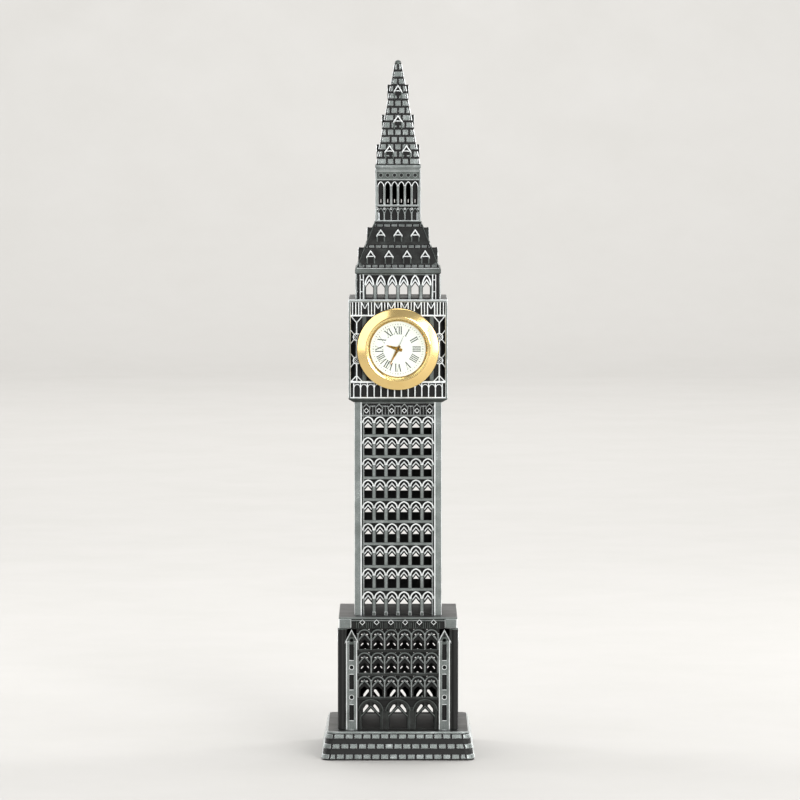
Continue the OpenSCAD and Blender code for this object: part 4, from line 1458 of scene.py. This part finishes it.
@dataclass
class Belfry(Casting):
    """The open belfry: six pointed arches a side, lattice corner piers and a plain cornice."""

    piece: str = "belfry_casting"
    node: str = "belfry"
    foot: float = 202.8
    head: float = 216.2
    half: float = 18.8
    back: float = 17.1
    pitch: float = 5.05

    def bay(self) -> Relief:
        """Draws one arch, its chevron and the pair of leaf-shaped hollows between them."""
        bay = Relief()
        half = self.pitch / 2
        bay.slab(
            [(-half, 207.9), (-1.65, 207.9), (0, 210.0), (1.65, 207.9), (half, 207.9), (half, 214.0), (-half, 214.0)],
            self.back,
            17.7,
            SOOT,
            SOOT,
            0,
        )
        bay.slab(chevron(0, 211.9, 1.75, 2.6, 1.0), 17.6, 18.5, EDGE, SOOT, 0.07)
        bay.rib(0, 209.1, 1.85, 4.35, 0.72, 17.6, 18.78, EDGE, DUSKY, 5)
        return bay

    def one_face(self) -> Relief:
        """Draws a whole side."""
        side = Relief()
        side.take(self.bay(), *in_a_row(6, self.pitch))
        for i in range(-3, 4):
            x = self.pitch * i
            width = 0.72 if abs(i) < 3 else 0.3
            x -= math.copysign(0.42, x) if abs(i) == 3 else 0
            side.bar((x - width - 0.14, self.foot, x + width + 0.14, 209.2), self.back, 18.2, SOOT, SOOT, 0)
            side.bar((x - width, self.foot, x + width, 209.3), 18.0, 18.65, RUBBED, SOOT, 0.18, RUBBED)
        for hand in (-1, 1):
            side.bar((hand * 16.9 - 1.75, self.foot, hand * 16.9 + 1.75, 214.0), self.back - 0.3, 17.9, SOOT, SOOT, 0)
            for x, half in ((16.75, 0.32), (15.25, 0.26)):
                side.bar((hand * x - half, self.foot, hand * x + half, 213.8), 17.8, 18.6, EDGE, SOOT, 0.08)
            for z in (211.4, 206.15):
                side.bar((hand * 16.9 - 1.7, z - 0.2, hand * 16.9 + 1.5, z + 0.2), 17.8, 18.5, EDGE, SOOT, 0.06)
        # Painted shade: a thin black strip on the floor just inside the arches, standing in for the shade there.
        side.bar((-15.4, self.foot, 15.4, 203.1), self.back - 0.5, self.back, SOOT, SOOT, 0)
        side.bar((-16.0, 213.45, 16.0, 214.0), 17.5, 18.5, WORN, SOOT, 0.15)
        return side

    def drawing(self) -> Relief:
        """Draws it on all four sides."""
        whole = Relief()
        whole.on_sides(self.one_face())
        whole.corner_piers(18.1, self.half, self.foot, 214.0, 0.16)
        levels = [(213.9, 18.5), (214.5, 18.95), (215.9, 18.95), (self.head, 18.7)]
        cornice = Masonry(levels, {}, ground_tone=WORN, shell=3.0).build()
        whole.take(cornice)
        return whole


def dormer(foot: float, width: float, eaves: float, apex: float, depth: float, root: float, light: Tone) -> Relief:
    """Draws a small gabled dormer: a bright outline, a crossbar at its eaves and dark openings above and below.

    Args:
        foot: the height of its sill.
        width: its width.
        eaves: the height of its eaves over the sill.
        apex: the height of its apex over the sill.
        depth: the depth of its front.
        root: the depth that it is buried to.
        light: the tone of its outline.

    Returns:
        The dormer, in the middle of the side.
    """
    drawing = Relief()
    half = width / 2
    drawing.slab(gable(0, foot, width - 0.1, eaves, apex - 0.1), root, depth - 0.35, SOOT, DULL, 0)
    drawing.slab(
        chevron(0, foot + apex, half + 0.12, apex - eaves + 0.25, 0.95), depth - 0.75, depth + 0.08, light, DULL, 0.08
    )
    for hand in (-1, 1):
        x = hand * (half - 0.28)
        drawing.bar((x - 0.28, foot, x + 0.28, foot + eaves + 0.1), depth - 0.7, depth, WORN, DULL, 0.1, RUBBED)
    drawing.bar(
        (-half + 0.2, foot + eaves - 0.35, half - 0.2, foot + eaves + 0.12), depth - 0.7, depth - 0.02, light, DULL, 0.1
    )
    drawing.bar((-half, foot - 0.35, half, foot + 0.05), root, depth - 0.2, DULL, DULL, 0.1, DULL)
    return drawing


@dataclass
class LowerRoof(Tapered):
    """The steep lower roof: rough slopes, three courses of raised blocks and two tiers of dormers."""

    piece: str = "lower_roof_casting"
    node: str = "lower_roof"
    foot: float = 216.2
    head: float = 236.7
    half_foot: float = 18.5
    half_head: float = 10.1

    def drawing(self) -> Relief:
        """Draws it on all four sides."""
        lift = 0.3
        heights = [self.foot, 216.5, 218.3, 225.0, 226.8, 234.2, 235.9, self.head]
        rows = {
            1: [i * 2.9 for i in range(-6, 7)],
            3: [(i + 0.5) * 2.9 for i in range(-5, 5)],
            5: [i * 3.2 for i in range(-3, 4)],
        }
        masonry = Masonry(
            [(z, self.half_at(z) - lift) for z in heights],
            rows,
            gap=0.75,
            lift=lift,
            ground_tone=DULL,
            shell=1.8,
        )
        whole = masonry.build()
        side = Relief()
        low_dormer = dormer(218.5, 3.7, 3.3, 6.0, self.half_at(218.5), 12.5, EDGE)
        side.take(low_dormer, *in_a_row(4, 8.0))
        high_dormer = dormer(228.0, 3.7, 3.1, 5.6, self.half_at(228.0), 9.5, EDGE)
        side.take(high_dormer, *in_a_row(3, 7.6))
        side.bar(
            (-self.half_foot + 0.2, self.foot, self.half_foot - 0.2, 216.55), 17.5, self.half_foot, RUBBED, SOOT, 0.1
        )
        whole.on_sides(side)
        whole.on_sides(hip_roll((self.foot, self.half_foot), (self.head, self.half_head), 0.3))
        return whole


def hip_roll(foot: Point, head: Point, width: float) -> Relief:
    """Lays a bright roll along the left front hip of a square spire.

    Args:
        foot: the height and half-width at the bottom.
        head: the height and half-width at the top.
        width: the roll's thickness.

    Returns:
        The roll.
    """
    roll = Relief()
    start = Vector((-foot[1] + width * 0.35, -foot[1] + width * 0.35, foot[0]))
    end = Vector((-head[1] + width * 0.35, -head[1] + width * 0.35, head[0]))
    along = end - start
    place = Matrix.Translation((start + end) / 2) @ along.to_track_quat("Z", "Y").to_matrix().to_4x4()
    bmesh.ops.create_cone(
        roll.bm, cap_ends=True, segments=6, radius1=width * 0.62, radius2=width * 0.62, depth=along.length, matrix=place
    )
    roll.wear(roll.bm.faces, WORN)
    return roll


@dataclass
class Lantern(Casting):
    """The open lantern between the roofs: lancets over blind panels, under dark squares with small rings."""

    piece: str = "lantern_casting"
    node: str = "lantern"
    foot: float = 236.7
    head: float = 261.7
    half: float = 10.1
    back: float = 8.7
    pitch: float = 3.03

    def one_face(self) -> Relief:
        """Draws a whole side."""
        side, bay = Relief(), Relief()
        half = self.pitch / 2
        bay.slab(
            [(-half, 252.2), (-0.95, 252.2), (0, 254.0), (0.95, 252.2), (half, 252.2), (half, 258.9), (-half, 258.9)],
            self.back,
            9.35,
            SOOT,
            SOOT,
            0,
        )
        bay.rib(0, 252.1, half - 0.2, 2.3, 0.42, 9.2, 9.98, EDGE, SOOT, 4)
        bay.bar((-half, 255.5, half, 258.7), 9.2, 9.6, WORN, WORN, 0)
        bay.bar((-1.0, 256.35, 1.0, 258.1), 9.5, 9.72, SOOT, SOOT, 0)
        bay.hoop(disc_outline(0, 257.25, 1.1, 8), 0.3, 9.6, 9.95, RUBBED)
        bay.rib(0, 240.4, half - 0.28, 2.3, 0.36, 9.2, 9.9, RUBBED, SOOT, 4)
        side.take(bay, *in_a_row(6, self.pitch))
        for i in range(-3, 4):
            x = self.pitch * i
            side.bar((x - 0.62, 244.0, x + 0.62, 252.4), self.back, 9.5, DULL, SOOT, 0)
            side.bar((x - 0.42, 244.0, x + 0.42, 252.6), 9.4, 9.98, RUBBED, SOOT, 0.14)
            if abs(i) < 3:
                slit = [strip((x + s * half, 244.5), (x + s * half, 246.6), 0.34) for s in (-1, 1)]
                side.pierced(
                    rectangle(x - self.pitch, 243.9, x + self.pitch, 254.2), slit, self.back - 0.4, self.back, SOOT
                )
            side.bar((x - 0.24, 237.0, x + 0.24, 240.8), 9.2, 9.9, RUBBED, SOOT, 0.1)
            side.hoop(disc_outline(x, 242.4, 0.5, 8), 0.18, 9.2, 9.9, EDGE)
        side.bar((-9.4, self.foot, 9.4, 244.0), self.back, 9.3, SOOT, SOOT, 0)
        for z0, z1, front in (
            (243.4, 244.15, 10.02), (236.75, 237.3, 10.0), (255.0, 255.5, 9.95), (258.7, 259.2, 9.95)
        ):
            side.bar((-9.6, z0, 9.6, z1), 9.2, front, RUBBED, SOOT, 0.12)
        return side

    def drawing(self) -> Relief:
        """Draws it on all four sides."""
        whole = Relief()
        whole.on_sides(self.one_face())
        whole.corner_piers(9.3, self.half, self.foot, 260.0, 0.16)
        ledge = Masonry(
            [(258.9, 9.6), (260.3, 9.75), (260.6, self.half), (261.5, self.half), (self.head, 9.95)],
            {},
            ground_tone=RUBBED,
            shell=2.0,
        ).build()
        whole.take(ledge)
        return whole


@dataclass
class Spire(Tapered):
    """The pointed spire: fourteen staggered courses of blocks, bright hips, four dormers a side and a round tip."""

    piece: str = "spire_casting"
    node: str = "spire"
    foot: float = 261.7
    head: float = 306.5
    half_foot: float = 9.9
    half_head: float = 1.7
    tip_radius: float = 1.5
    courses: int = 14
    block: float = 3.27

    def drawing(self) -> Relief:
        """Draws it on all four sides."""
        lift = 0.34
        rise = (self.head - self.foot) / self.courses
        heights = [self.foot + rise * i for i in range(self.courses + 1)]
        joints: dict[int, list[float]] = {}
        for course in range(self.courses):
            reach = self.half_at(heights[course + 1]) - 1.5
            start = 0.0 if course % 2 else self.block / 2
            places = [s * (start + self.block * k) for k in range(4) for s in (-1, 1)]
            joints[course] = sorted({round(p, 4) for p in places if abs(p) < reach})
        masonry = Masonry([(z, self.half_at(z) - lift) for z in heights], joints, gap=0.85, lift=lift, shell=1.4)
        whole = masonry.build()
        side = Relief()
        low = dormer(264.4, 3.9, 3.6, 6.2, self.half_at(264.4) + 0.05, 6.3, EDGE)
        side.take(low, *in_a_row(2, 7.5))
        side.take(dormer(277.4, 3.9, 3.8, 6.4, self.half_at(277.4) + 0.05, 4.2, EDGE))
        side.take(dormer(290.6, 3.6, 3.9, 6.5, self.half_at(290.6) + 0.05, 2.2, EDGE))
        whole.on_sides(side)
        tip = Relief()
        bmesh.ops.create_uvsphere(
            tip.bm, u_segments=24, v_segments=12, radius=self.tip_radius, matrix=Matrix.Translation(
                (0, 0, self.head - 0.04)
            )
        )
        tip.wear(tip.bm.faces, WORN)
        for face in tip.bm.faces:
            face.smooth = True
        whole.take(tip)
        return whole


@dataclass
class ClockInsert:
    """What shows of the push-in clock: bezel, crystal, reflector, printed dial and hands.

    Sizes are from the clock's own face, whose depth is where the bezel meets the tower.
    """

    face: float = 21.9
    centre_z: float = 181.1
    hour_turn: float = 287.5
    minute_turn: float = 208.0
    second_turn: float = 23.0

    @property
    def middle(self) -> Point:
        """The clock's axis on the front."""
        return 0.0, self.centre_z

    def out(self, profile: Sequence[Point]) -> list[Point]:
        """Moves a (radius, height over the face) profile out to its depth."""
        return [(radius, self.face + height) for radius, height in profile]

    def bezel(self, gold: bpy.types.Material) -> bpy.types.Object:
        """Builds the polished bezel: a low cone between two fine lips."""
        drawing = Relief()
        profile = [
            (15.02, 0.05), (17.9, 0.05), (18.0, 0.15), (18.0, 2.2), (17.93, 2.42), (17.72, 2.58), (17.4, 2.72),
            (16.4, 3.14), (15.4, 3.55), (14.62, 3.86), (14.3, 3.97), (13.95, 4.0), (13.72, 3.93), (13.6, 3.7),
            (13.6, 2.95), (14.52, 2.95), (14.52, 1.65), (15.02, 1.65),
        ]
        drawing.turned_ring(self.out(profile), self.middle, EDGE, 180)
        return make_piece(drawing, "bezel_gilt", (gold,), "clock_insert", ("bezel",), 28)

    def reflector(self, gold: bpy.types.Material) -> bpy.types.Object:
        """Builds the sloping gilt ring that frames the dial."""
        drawing = Relief()
        profile = [
            (12.2, 0.62),
            (13.9, 0.62),
            (13.9, 1.85),
            (13.4, 1.85),
            (13.25, 1.78),
            (12.75, 1.3),
            (12.3, 0.86),
            (12.2, 0.76),
        ]
        drawing.turned_ring(self.out(profile), self.middle, EDGE, 160)
        return make_piece(
            drawing, "reflector_ring_gilt", (gold,), "clock_insert", ("reflector_ring",), 28
        )

    def crystal(self, glass: bpy.types.Material) -> bpy.types.Object:
        """Builds the flat glass with its ground edge."""
        drawing = Relief()
        profile = [(0.0, 1.95), (13.85, 1.95), (14.0, 2.1), (14.0, 2.7), (13.8, 2.85), (0.0, 2.85)]
        drawing.turned_ring(self.out(profile), self.middle, EDGE, 128)
        return make_piece(drawing, "crystal_pane", (glass,), "clock_insert", ("crystal",), 30)

    def numeral(self, text: str) -> Relief:
        """Draws one Roman numeral, foot towards the clock's centre, standing at twelve.

        Args:
            text: its letters, I, V and X.

        Returns:
            The numeral's strokes, over the middle of a clock at height 0.
        """
        drawing = Relief()
        foot, head, thick, thin = 6.55, 9.85, 0.46, 0.17
        widths = {"I": 0.92, "V": 1.95, "X": 2.0}
        squeeze = 0.86 if len(text) > 3 else 1.0
        x = -sum(widths[c] for c in text) / 2
        back, front = self.face + 0.59, self.face + 0.6 + SKIN
        for letter in text:
            middle = x + widths[letter] / 2
            reach = widths[letter] * 0.36
            if letter == "I":
                strokes = [((middle, foot), (middle, head), thick)]
                feet = [(middle, foot), (middle, head)]
            elif letter == "V":
                strokes = [
                    ((middle - reach, head), (middle, foot), thick),
                    ((middle, foot), (middle + reach, head), thin),
                ]
                feet = [(middle - reach, head), (middle + reach, head)]
            else:
                strokes = [
                    ((middle - reach, head), (middle + reach, foot), thick),
                    ((middle - reach, foot), (middle + reach, head), thin),
                ]
                feet = [(middle + s * reach, z) for s in (-1, 1) for z in (foot, head)]
            for start, end, width in strokes:
                drawing.slab(strip(start, end, width), back, front, SOOT, SOOT, 0)
            for spot, z in feet:
                drawing.slab(strip((spot - 0.42, z), (spot + 0.42, z), thin), back, front + 0.004, SOOT, SOOT, 0)
            x += widths[letter]
        bmesh.ops.scale(drawing.bm, vec=(squeeze, 1, 1), verts=drawing.bm.verts[:])
        return drawing

    def print_on_dial(self, ink: bpy.types.Material) -> bpy.types.Object:
        """Builds the printed chapter: numerals and a fine minute track."""
        whole = Relief()
        centre = Matrix.Translation((0, 0, self.centre_z))
        names = ("XII", "I", "II", "III", "IIII", "V", "VI", "VII", "VIII", "IX", "X", "XI")
        for hour, text in enumerate(names):
            whole.take(self.numeral(text), centre @ Matrix.Rotation(hour * math.pi / 6, 4, "Y"))
        fine, bold = Relief(), Relief()
        back, front = self.face + 0.59, self.face + 0.6 + SKIN
        fine.bar((-0.075, 10.6, 0.075, 11.25), back, front, SOOT, SOOT, 0)
        bold.bar((-0.13, 10.5, 0.13, 11.3), back, front, SOOT, SOOT, 0)
        for minute in range(60):
            whole.take(fine if minute % 5 else bold, centre @ Matrix.Rotation(minute * math.pi / 30, 4, "Y"))
        return make_piece(whole, "dial_numerals", (ink,), "clock_insert", ())

    def hand(
        self,
        name: str,
        reach: float,
        width: float,
        tip: float,
        tail: float,
        eye: float,
        bore: float,
        low: float,
        turn: float,
    ) -> Relief:
        """Draws a tapered hand with a ridged blade and a round eye.

        Args:
            name: the hand's name, for the log.
            reach: its length.
            width: the blade's width at the eye.
            tip: its width near the point.
            tail: how far it runs behind the centre, or 0.
            eye: the eye's radius.
            bore: the hole's radius.
            low: the height of its underside over the clock's face.
            turn: its angle from twelve, clockwise, in degrees.

        Returns:
            The hand, in place.
        """
        log.info("%s: %.1f mm long", name, reach)
        drawing = Relief()
        back, front = self.face + low, self.face + low + 0.14
        blade = [
            (-width / 2, bore + 0.05),
            (width / 2, bore + 0.05),
            (tip / 2, reach - 0.45),
            (0, reach),
            (-tip / 2, reach - 0.45),
        ]
        drawing.slab(blade, back, front, EDGE, RUBBED, min(0.06, tip * 0.28))
        if tail:
            drawing.bar((-width * 0.45, -tail, width * 0.45, -bore - 0.05), back, front, EDGE, RUBBED, 0.03)
        drawing.turned_ring(
            [
                (bore, front - 0.13),
                (bore, front),
                (bore + 0.1, front + 0.03),
                (eye - 0.1, front + 0.03),
                (eye, front - 0.03),
                (eye, front - 0.13),
            ],
            (0.0, 0.0),
            EDGE,
            40,
        )
        placed = Relief()
        placed.take(drawing, Matrix.Translation((0, 0, self.centre_z)) @ Matrix.Rotation(math.radians(turn), 4, "Y"))
        return placed

    def hands(self, gilt: bpy.types.Material, dark: bpy.types.Material) -> None:
        """Builds the three hands, each on the arbor that turns it."""
        hour = self.hand("hour hand", 5.5, 1.5, 0.4, 1.9, 1.15, 0.81, 0.85, self.hour_turn)
        make_piece(hour, "hour_hand_gilt", (gilt,), "hour_pipe", ("hour_hand",), 30)
        minute = self.hand("minute hand", 7.8, 1.25, 0.34, 1.6, 0.85, 0.48, 1.2, self.minute_turn)
        make_piece(minute, "minute_hand_gilt", (gilt,), "minute_arbor", ("minute_hand",), 30)
        second = self.hand("second hand", 6.8, 0.2, 0.12, 2.2, 0.42, 0.16, 1.54, self.second_turn)
        make_piece(second, "second_hand_dark", (dark,), "seconds_arbor", ("second_hand",), 30)


@dataclass
class Studio:
    """A pale sweep of floor and backdrop, soft lights, and the camera."""

    camera_at: tuple[float, float, float] = (0.0, -2.114, 0.3168)
    aim: tuple[float, float, float] = (0.0009, 0.0, 0.1569)
    lens: float = 214.2

    def build(self) -> None:
        """Builds the floor, the lights, the sky light and the camera."""
        self.sweep()
        self.softbox("key", (-1.3, -1.2, 0.9), (0.0, 0.0, 0.16), 1.9, 2.0, 20.0)
        self.softbox("fill", (1.15, -0.75, 0.5), (0.0, 0.0, 0.16), 0.7, 1.0, 9.0)
        self.softbox("front", (0.9, -2.1, 0.8), (0.0, 0.0, 0.16), 0.9, 0.9, 57.0)
        self.softbox("top", (0.1, -0.15, 1.25), (0.0, 0.0, 0.2), 0.8, 0.8, 5.5)
        self.softbox("left_edge", (-0.8, 0.35, 0.35), (0.0, 0.0, 0.16), 0.35, 0.9, 8.0)
        self.softbox("right_edge", (0.8, 0.35, 0.35), (0.0, 0.0, 0.16), 0.35, 0.9, 8.0)
        self.softbox("backdrop", (0.0, 1.6, 1.9), (0.0, 2.3, 0.0), 3.0, 1.6, 92.0)
        world = bpy.data.worlds.new("studio_air")
        world.use_nodes = True
        world.node_tree.nodes["Background"].inputs["Color"].default_value = linear_colour("#dfe1e4")
        world.node_tree.nodes["Background"].inputs["Strength"].default_value = 0.5
        bpy.context.scene.world = world
        camera = bpy.data.objects.new("camera", bpy.data.cameras.new("camera"))
        camera.data.lens = self.lens
        camera.data.sensor_width = 36.0
        camera.data.clip_start = 0.05
        camera.location = self.camera_at
        camera.rotation_euler = (Vector(self.aim) - Vector(self.camera_at)).to_track_quat("-Z", "Y").to_euler()
        bpy.context.scene.collection.objects.link(camera)
        bpy.context.scene.camera = camera
        bpy.context.scene.view_settings.view_transform = "Standard"

    def softbox(
        self, name: str, at: Sequence[float], towards: Sequence[float], width: float, height: float, power: float
    ) -> None:
        """Hangs one rectangular soft light.

        Args:
            name: its name.
            at: its place.
            towards: what it faces.
            width: its width.
            height: its height.
            power: its power in watts.
        """
        light = bpy.data.lights.new(name, "AREA")
        light.shape = "RECTANGLE"
        light.size, light.size_y, light.energy = width, height, power
        holder = bpy.data.objects.new(name, light)
        holder.location = at
        holder.rotation_euler = (Vector(towards) - Vector(at)).to_track_quat("-Z", "Y").to_euler()
        bpy.context.scene.collection.objects.link(holder)

    def sweep(self) -> None:
        """Builds the floor and the backdrop as one curved sheet."""
        bm = bmesh.new()
        near, far, radius, top = -9.0, 2.4, 0.7, 3.2
        start = [bm.verts.new((-9.0, near, 0.0)), bm.verts.new((-9.0, far, 0.0))]
        bm.edges.new(start)
        bend = bmesh.ops.spin(
            bm,
            geom=[start[1]],
            cent=(-9.0, far, radius),
            axis=(1, 0, 0),
            angle=math.pi / 2,
            steps=16,
        )["geom_last"]
        last = next(g for g in bend if isinstance(g, bmesh.types.BMVert))
        raised = bmesh.ops.extrude_vert_indiv(bm, verts=[last])["verts"]
        bmesh.ops.translate(bm, verts=raised, vec=(0, 0, top))
        wide = bmesh.ops.extrude_edge_only(bm, edges=bm.edges[:])["geom"]
        bmesh.ops.translate(bm, verts=[g for g in wide if isinstance(g, bmesh.types.BMVert)], vec=(18, 0, 0))
        bmesh.ops.recalc_face_normals(bm, faces=bm.faces[:])
        mesh = bpy.data.meshes.new("studio_sweep")
        bm.to_mesh(mesh)
        bm.free()
        mesh.polygons.foreach_set("use_smooth", [True] * len(mesh.polygons))
        mesh.materials.append(
            PlainSurface(
                "matt_paper_sweep", "#a3a19e", "#9e9c98", 0.0, 0.7, 0.05, Grain.MOULDED, 2.0, 0.02, 90.0, centre=(
                    0, 0, 0
                )
            ).build()
        )
        sweep = bpy.data.objects.new("studio_sweep", mesh)
        bpy.context.scene.collection.objects.link(sweep)
        log.info("studio_sweep: floor and backdrop in one sheet")


def finishes() -> dict[str, bpy.types.Material]:
    """Builds every finish once.

    Returns:
        The materials by a short key.
    """
    metal = Grain.TURNED
    plain = {
        "steel": PlainSurface("zinc_plated_steel", "#b9bcbd", "#8f9496", 0.95, 0.3, 0.06, Grain.BRUSHED, 0.15, 0.02),
        "gold": PlainSurface(
            "polished_gold_plate", "#fadd9c", "#f2cf84", 1.0, 0.17, 0.035, metal, 0.12, 0.0015, 7.0
        ),
        "nylon": PlainSurface("moulded_nylon_gasket", "#20201e", "#151513", 0.0, 0.45, 0.05, Grain.MOULDED, 0.2, 0.01),
        "enamel": PlainSurface(
            "satin_dial_enamel", "#e4e2dc", "#dedcd5", 0.0, 0.34, 0.04, Grain.BRUSHED, 0.18, 0.004, 8.0
        ),
        "abs_black": PlainSurface(
            "moulded_abs_black", "#1b1b1c", "#111112", 0.0, 0.42, 0.06, Grain.MOULDED, 0.25, 0.012
        ),
        "rubber": PlainSurface(
            "moulded_grip_rubber", "#c9c8c0", "#b5b3a9", 0.0, 0.72, 0.06, Grain.MOULDED, 0.35, 0.02, sheen=0.1
        ),
        "acetal": PlainSurface("moulded_acetal_white", "#e7e6df", "#dad8cf", 0.0, 0.5, 0.05, Grain.MOULDED, 0.3, 0.012),
        "brass": PlainSurface(
            "stamped_movement_brass", "#d8b25a", "#b98f3c", 1.0, 0.28, 0.06, Grain.BRUSHED, 0.12, 0.006, 4.0
        ),
        "pole_iron": PlainSurface(
            "nickel_plated_iron", "#a9a8a2", "#84837e", 0.95, 0.34, 0.07, Grain.BRUSHED, 0.14, 0.01, 4.0
        ),
        "board": PlainSurface(
            "solder_masked_board", "#1c5a2e", "#123f20", 0.0, 0.3, 0.05, Grain.MOULDED, 0.4, 0.02, 2.0, coat=0.5
        ),
        "cell": PlainSurface("brushed_cell_steel", "#c9cac8", "#a8aaa9", 1.0, 0.26, 0.05, metal, 0.16, 0.006, 4.0),
        "gilt": PlainSurface("gilt_hand_brass", "#c99a45", "#9c7028", 1.0, 0.26, 0.04, Grain.BRUSHED, 0.1, 0.002, 2.0),
        "ink": PlainSurface("printed_dial_ink", "#202022", "#2c2c2f", 0.0, 0.5, 0.04, Grain.MOULDED, 0.12, 0.003, 1.2),
        "dark_hand": PlainSurface(
            "blackened_steel_hand", "#2a2119", "#17130f", 0.7, 0.35, 0.05, Grain.BRUSHED, 0.1, 0.003, 2.0
        ),
        "magnet": PlainSurface("sintered_magnet", "#5a5b60", "#424348", 0.8, 0.42, 0.06, Grain.CAST, 0.12, 0.01, 1.5),
        "patina": PlainSurface(
            "polished_black_patina", "#111110", "#080808", 0.0, 0.4, 0.06, Grain.CAST, 0.5, 0.012, 14.0
        ),
    }
    built = {key: finish.build() for key, finish in plain.items()}
    built["antique"] = AntiqueZinc().build()
    built["antique_dark"] = AntiqueZinc(
        name="antique_zinc_dark", hollow="#080807", skin="#191918", face="#4a4f4c", bright="#6d7270", arris="#cdd0cf"
    ).build()
    built["copper"] = WoundCopper().build()
    built["felt"] = PressedFelt().build()
    built["glass"] = ClearCrystal().build()
    return built


KEPT_NODES: dict[str, tuple[str, ...]] = {
    "felt": ("felt_pad",),
    "steel": (
        "base_screws", "shaft_screws", "stage_screws", "belfry_screws", "roof_screws", "lantern_screws", "spire_screw",
        "bridge_screws", "quartz_can", "battery_clip", "stem", "cannon_pinion",
    ),
    "nylon": ("crystal_gasket",),
    "enamel": ("dial",),
    "abs_black": ("case_body",),
    "cell": ("case_back", "battery"),
    "rubber": ("grip_ring",),
    "acetal": ("movement_holder",),
    "brass": (
        "main_plate",
        "train_bridge",
        "hour_wheel",
        "centre_wheel",
        "minute_wheel",
        "fourth_wheel",
        "third_wheel",
        "fifth_wheel",
    ),
    "pole_iron": ("stator", "coil_core"),
    "copper": ("coil",),
    "board": ("circuit_board",),
    "magnet": ("rotor",),
    "gold": ("crown",),
}


def dress_kept_nodes(built: dict[str, bpy.types.Material]) -> None:
    """Gives every CAD node that still shows its finish.

    Args:
        built: the materials by key.
    """
    for key, names in KEPT_NODES.items():
        for name in names:
            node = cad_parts[name]
            node.data.materials.clear()
            node.data.materials.append(built[key])
            log.info("%s: finished in %s", name, built[key].name)


def main() -> None:
    """Builds the tower's castings, the clock and the studio."""
    logging.basicConfig(level=logging.INFO, format="%(name)s %(message)s")
    built = finishes()
    light = Dressing(built["antique"], built["patina"], "antique_zinc")
    dark = Dressing(built["antique_dark"], built["patina"], "dark_zinc")
    for assembly, dress in (
        (BasePlinth(), dark),
        (LowerStage(), dark),
        (Shaft(), light),
        (ClockStage(), light),
        (Belfry(), light),
        (LowerRoof(), dark),
        (Lantern(), light),
        (Spire(), dark),
    ):
        assembly.build(dress)
    clock = ClockInsert()
    clock.bezel(built["gold"])
    clock.reflector(built["gold"])
    clock.crystal(built["glass"])
    clock.print_on_dial(built["ink"])
    clock.hands(built["gilt"], built["dark_hand"])
    dress_kept_nodes(built)
    Studio().build()


if __name__ == "__main__":
    main()
